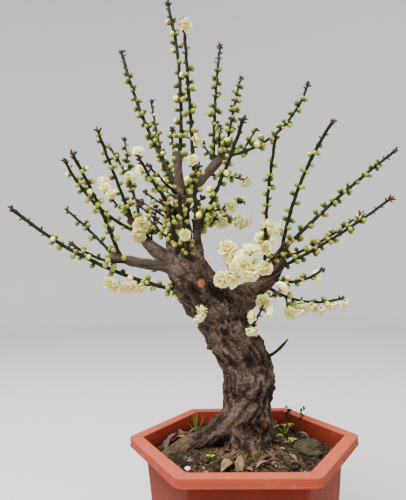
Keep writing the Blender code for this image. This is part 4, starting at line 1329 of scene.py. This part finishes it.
def makeNamedLeaves():
    spot = centreOf("curled_leaf")
    mesh = leafMesh(0.024, 0.012, 0.0030, curve=0.5)
    mesh.transform(placed(surface(spot.x, spot.y, 0.0018), Vector((0.12, -0.2, 1)), 1, radians(20)))
    addPiece("curled_dry_leaf", mesh, ["leaf"], ["curled_leaf"])
    spot = centreOf("upright_leaf")
    mesh = leafMesh(0.022, 0.010, 0.0018)
    mesh.transform(Matrix.Translation(surface(spot.x, spot.y, 0.0075)) @ Matrix.Rotation(radians(75), 4, "Z")
                   @ Matrix.Rotation(radians(-72), 4, "Y"))
    addPiece("upright_dry_leaf", mesh, ["leaf"], ["upright_leaf"])


def flatCopies(patterns, count, margin, lift, steepest, sizes, tone):  # leaves that lie on the soil
    copies = []
    for number in range(count):
        spot = surface(*randomSpot(margin), lift)
        facing = towards(random.uniform(0, 360), random.uniform(50, steepest))
        matrix = placed(spot, facing, random.uniform(*sizes), random.uniform(0, 6))
        copies.append((patterns[number % len(patterns)], matrix, tone()))
    return copies


def makeFallenLeaves():
    flakes = [leafMesh(0.007, 0.0040, 0.0008, 0.0003), leafMesh(0.0045, 0.0034, 0.0004, 0.0003)]
    for pattern in flakes:
        shape = bmesh.new()
        shape.from_mesh(pattern)
        bmesh.ops.unsubdivide(shape, verts=shape.verts, iterations=2)
        shape.to_mesh(pattern)
        shape.free()
    copies = flatCopies(flakes, soil["flakes"], 0.008, 0.0008, 90, (0.5, 1.3), lambda: random.random() ** 0.5)
    addPiece("leaf_litter", gather("leafLitter", copies), ["leaf"])
    patterns = [leafMesh(0.016, 0.0075, 0.0016), leafMesh(0.012, 0.0068, -0.0012, curve=0.5),
                leafMesh(0.020, 0.008, 0.003)]
    copies = flatCopies(patterns, soil["leaves"], 0.016, 0.0016, 85, (0.6, 1.0),
                        lambda: random.uniform(0.35, 1))
    addPiece("fallen_leaves", gather("fallenLeaves", copies), ["leaf"])
    copies = []
    for x, y, heading, lean, size, tone in curledLeaves:
        place = Matrix.Translation(surface(x, y, 0.0050 * size)) @ Matrix.Rotation(radians(heading), 4, "Z")
        place = place @ Matrix.Rotation(radians(-lean), 4, "Y") @ Matrix.Scale(size, 4)
        copies.append((patterns[2], place, tone))
    addPiece("curled_leaves", gather("curledLeaves", copies), ["leaf"])


def bladeMesh(length, width):
    shape = bmesh.new()
    bmesh.ops.create_cone(shape, cap_ends=True, segments=3, radius1=width, radius2=width * 0.15, depth=length,
                          matrix=Matrix.Translation((0, 0, length / 2)))
    return patternFrom(shape, "bladePattern")


# moss cushions: x, y, radius and height in metres, number of leaves
mossPatches = [(0.012, -0.040, 0.013, 0.0045, 420), (-0.026, -0.060, 0.010, 0.0040, 260),
               (-0.048, -0.026, 0.016, 0.0035, 300), (0.062, -0.030, 0.011, 0.0030, 200),
               (0.030, 0.046, 0.016, 0.0035, 300), (-0.040, 0.036, 0.014, 0.0030, 240),
               (-0.082, -0.030, 0.012, 0.0030, 200), (0.000, 0.082, 0.012, 0.0030, 160)]


def makeMoss():
    blade = bladeMesh(0.0030, 0.00042)
    copies = []
    for x, y, radius, rise, count in mossPatches:
        for number in range(count):
            angle, out = random.uniform(0, 2 * pi), sqrt(random.random())
            stray = Vector((random.uniform(-0.4, 0.4), random.uniform(-0.4, 0.4), 0))
            lean = Vector((cos(angle) * out * 0.7, sin(angle) * out * 0.7, 1)) + stray
            spot = surface(x + cos(angle) * radius * out, y + sin(angle) * radius * out,
                           rise * (1 - out * out) - 0.0006)
            copies.append((blade, placed(spot, lean.normalized(), random.uniform(0.6, 1.25), angle), 0))
    addPiece("moss_cushions", gather("mossCushions", copies), ["moss"])


clodMoss = {"tufts": 1900, "length": 0.0022, "width": 0.00038}


def lumpIn(node, fineness, fill, *bumps):  # a rounded lump that fills its node's box
    low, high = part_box(node)
    size = high - low
    shape = bmesh.new()
    bmesh.ops.create_icosphere(shape, subdivisions=fineness, radius=0.5)
    for vertex in shape.verts:
        vertex.co *= 1 + sum(depth * noise.noise(vertex.co * scale) for depth, scale in bumps)
        vertex.co = Vector((vertex.co.x * size.x, vertex.co.y * size.y, vertex.co.z * size.z)) * fill
    bmesh.ops.translate(shape, vec=(low + high) / 2, verts=shape.verts)
    return shape


def makeClod():
    shape = lumpIn("mossy_clod", 5, 0.94, (0.30, 3.1), (0.14, 9), (0.05, 26))
    shape.normal_update()
    blade = bladeMesh(clodMoss["length"], clodMoss["width"])
    tops = [(vertex.co.copy(), vertex.normal.copy()) for vertex in shape.verts
            if vertex.normal.z > -0.1 and noise.noise(vertex.co * 90) > -0.12]
    addPiece("clod_earth", meshFrom(shape, "clodEarth"), ["clod"], ["mossy_clod"])
    copies = []
    for spot, facing in random.sample(tops, min(len(tops), clodMoss["tufts"])):
        lean = facing + Vector((random.uniform(-0.5, 0.5), random.uniform(-0.5, 0.5), 0.3))
        matrix = placed(spot - facing * 0.0004, lean.normalized(), random.uniform(0.5, 1.2))
        copies.append((blade, matrix, 0))
    addPiece("clod_moss", gather("clodMoss", copies), ["fur"])


def makePebble():
    shape = lumpIn("pebble", 4, 1, (0.12, 2.2), (0.03, 9))
    addPiece("white_pebble", meshFrom(shape, "whitePebble"), ["pebble"], ["pebble"])


def strapMesh(foot, heading, climb, length, width, droop):  # a grass blade that arches over
    shape = bmesh.new()
    bmesh.ops.create_grid(shape, x_segments=8, y_segments=2, size=0.5)
    out = towards(heading, climb)
    side = out.cross(up).normalized()
    for vertex in shape.verts:
        u, v = vertex.co.x + 0.5, vertex.co.y * 2
        half = width / 2 * (1 - u ** 2.2) + 0.00008
        vertex.co = foot + out * length * u - up * droop * u * u + side * v * half + up * abs(v) * half * 0.6
    thicken(shape, 0.00018)
    return meshFrom(shape, "strap", True)


def joined(name, meshes):
    shape = bmesh.new()
    for mesh in meshes:
        shape.from_mesh(mesh)
        bpy.data.meshes.remove(mesh)
    return meshFrom(shape, name)


# where the small plants stand, and how many blades or leaves each has
grass = {"spot": (-0.066, 0.060), "blades": 13}
seedling = {"spot": (0.062, 0.040),
            "stems": [(40, 58, 0.016), (160, 50, 0.015), (280, 64, 0.018), (100, 70, 0.013)]}
sprig = {"spot": (0.080, 0.052), "stems": [(200, 74, 0.044), (20, 76, 0.038), (150, 66, 0.030)]}
weedSpots = [(-0.042, -0.050, 7), (0.052, 0.022, 7), (0.066, 0.006, 5), (0.044, 0.056, 5)]


def makeGrass():
    blades = []
    for number in range(grass["blades"]):
        heading = random.uniform(0, 360)
        base = surface(*grass["spot"], -0.001) + towards(heading, 0) * random.uniform(0, 0.0022)
        blades.append(strapMesh(base, heading, random.uniform(58, 84), random.uniform(0.016, 0.036),
                                random.uniform(0.0014, 0.0022), random.uniform(0.001, 0.006)))
    addPiece("grass_blades", joined("grassBlades", blades), ["grass"], ["grass_tuft"])


def makeSeedling():
    leaves = []
    base = surface(*seedling["spot"], -0.001)
    for heading, climb, length in seedling["stems"]:
        tip = base + towards(heading, climb) * length
        leaves.append(tubes("stem", [[(*base, 0.0006), (*base.lerp(tip, 0.5), 0.0005), (*tip, 0.0004)]], 6))
        for turn in (-50, 50):
            leaf = leafMesh(0.0075, 0.0038, 0.0006, 0.0002)
            leaf.transform(placed(tip + towards(heading + turn, 10) * 0.0035, up, 1, radians(heading + turn)))
            leaves.append(leaf)
    addPiece("seedling_leaves", joined("seedlingLeaves", leaves), ["weed"], ["seedling"])


def makeWeeds():
    leaf = leafMesh(0.0068, 0.0044, 0.0008, 0.00025)
    copies = []
    for x, y, count in weedSpots:
        for number in range(count):
            heading = 360 * number / count + random.uniform(-25, 25)
            spot = surface(x, y, 0.0014)
            spot += towards(heading, random.uniform(15, 50)) * random.uniform(0.003, 0.006)
            lean = Matrix.Rotation(radians(random.uniform(-45, -10)), 4, "Y")
            turn = Matrix.Rotation(radians(heading), 4, "Z") @ lean
            size = Matrix.Scale(random.uniform(0.7, 1.2), 4)
            copies.append((leaf, Matrix.Translation(spot) @ turn @ size, 0))
    addPiece("ground_weed", gather("groundWeed", copies), ["weed"])


def makeSprig():
    base = surface(*sprig["spot"], -0.001)
    stems, leaves = [], []
    for heading, climb, length in sprig["stems"]:
        route = []
        for step in range(9):
            t = step / 8
            spot = base + towards(heading, climb) * length * t
            spot += Vector((noise.noise(spot * 120), noise.noise(spot * 120 + up), 0)) * 0.0018 * t
            route.append((*spot, 0.0007 * (1 - 0.6 * t)))
        stems.append(route)
        for share, turn in [(0.55, 40), (0.72, -70), (0.86, 60), (0.97, 0)]:
            spot, direction, _ = pointAlong(route, share)
            lean = (direction + towards(heading + turn, 0) * 0.8).normalized()
            leaf = leafMesh(0.0085, 0.0034, 0.0008, 0.0003, 0.7)
            leaf.transform(placed(spot + lean * 0.003, towards(heading + turn, 10), 1, random.uniform(0, 6)))
            leaves.append(leaf)
    addPiece("dry_sprig", tubes("drySprig", stems, 6), ["twig"], ["dried_sprig"])
    addPiece("dry_sprig_leaves", joined("drySprigLeaves", leaves), ["scale"])


makeSoil()
for name, layer in crumbLayers.items():
    scatterCrumbs(name, layer)
scatterFibres()
makeNamedLeaves()
makeFallenLeaves()
makeMoss()
makeClod()
makePebble()
makeGrass()
makeSeedling()
makeWeeds()
makeSprig()
print("soil dressed")
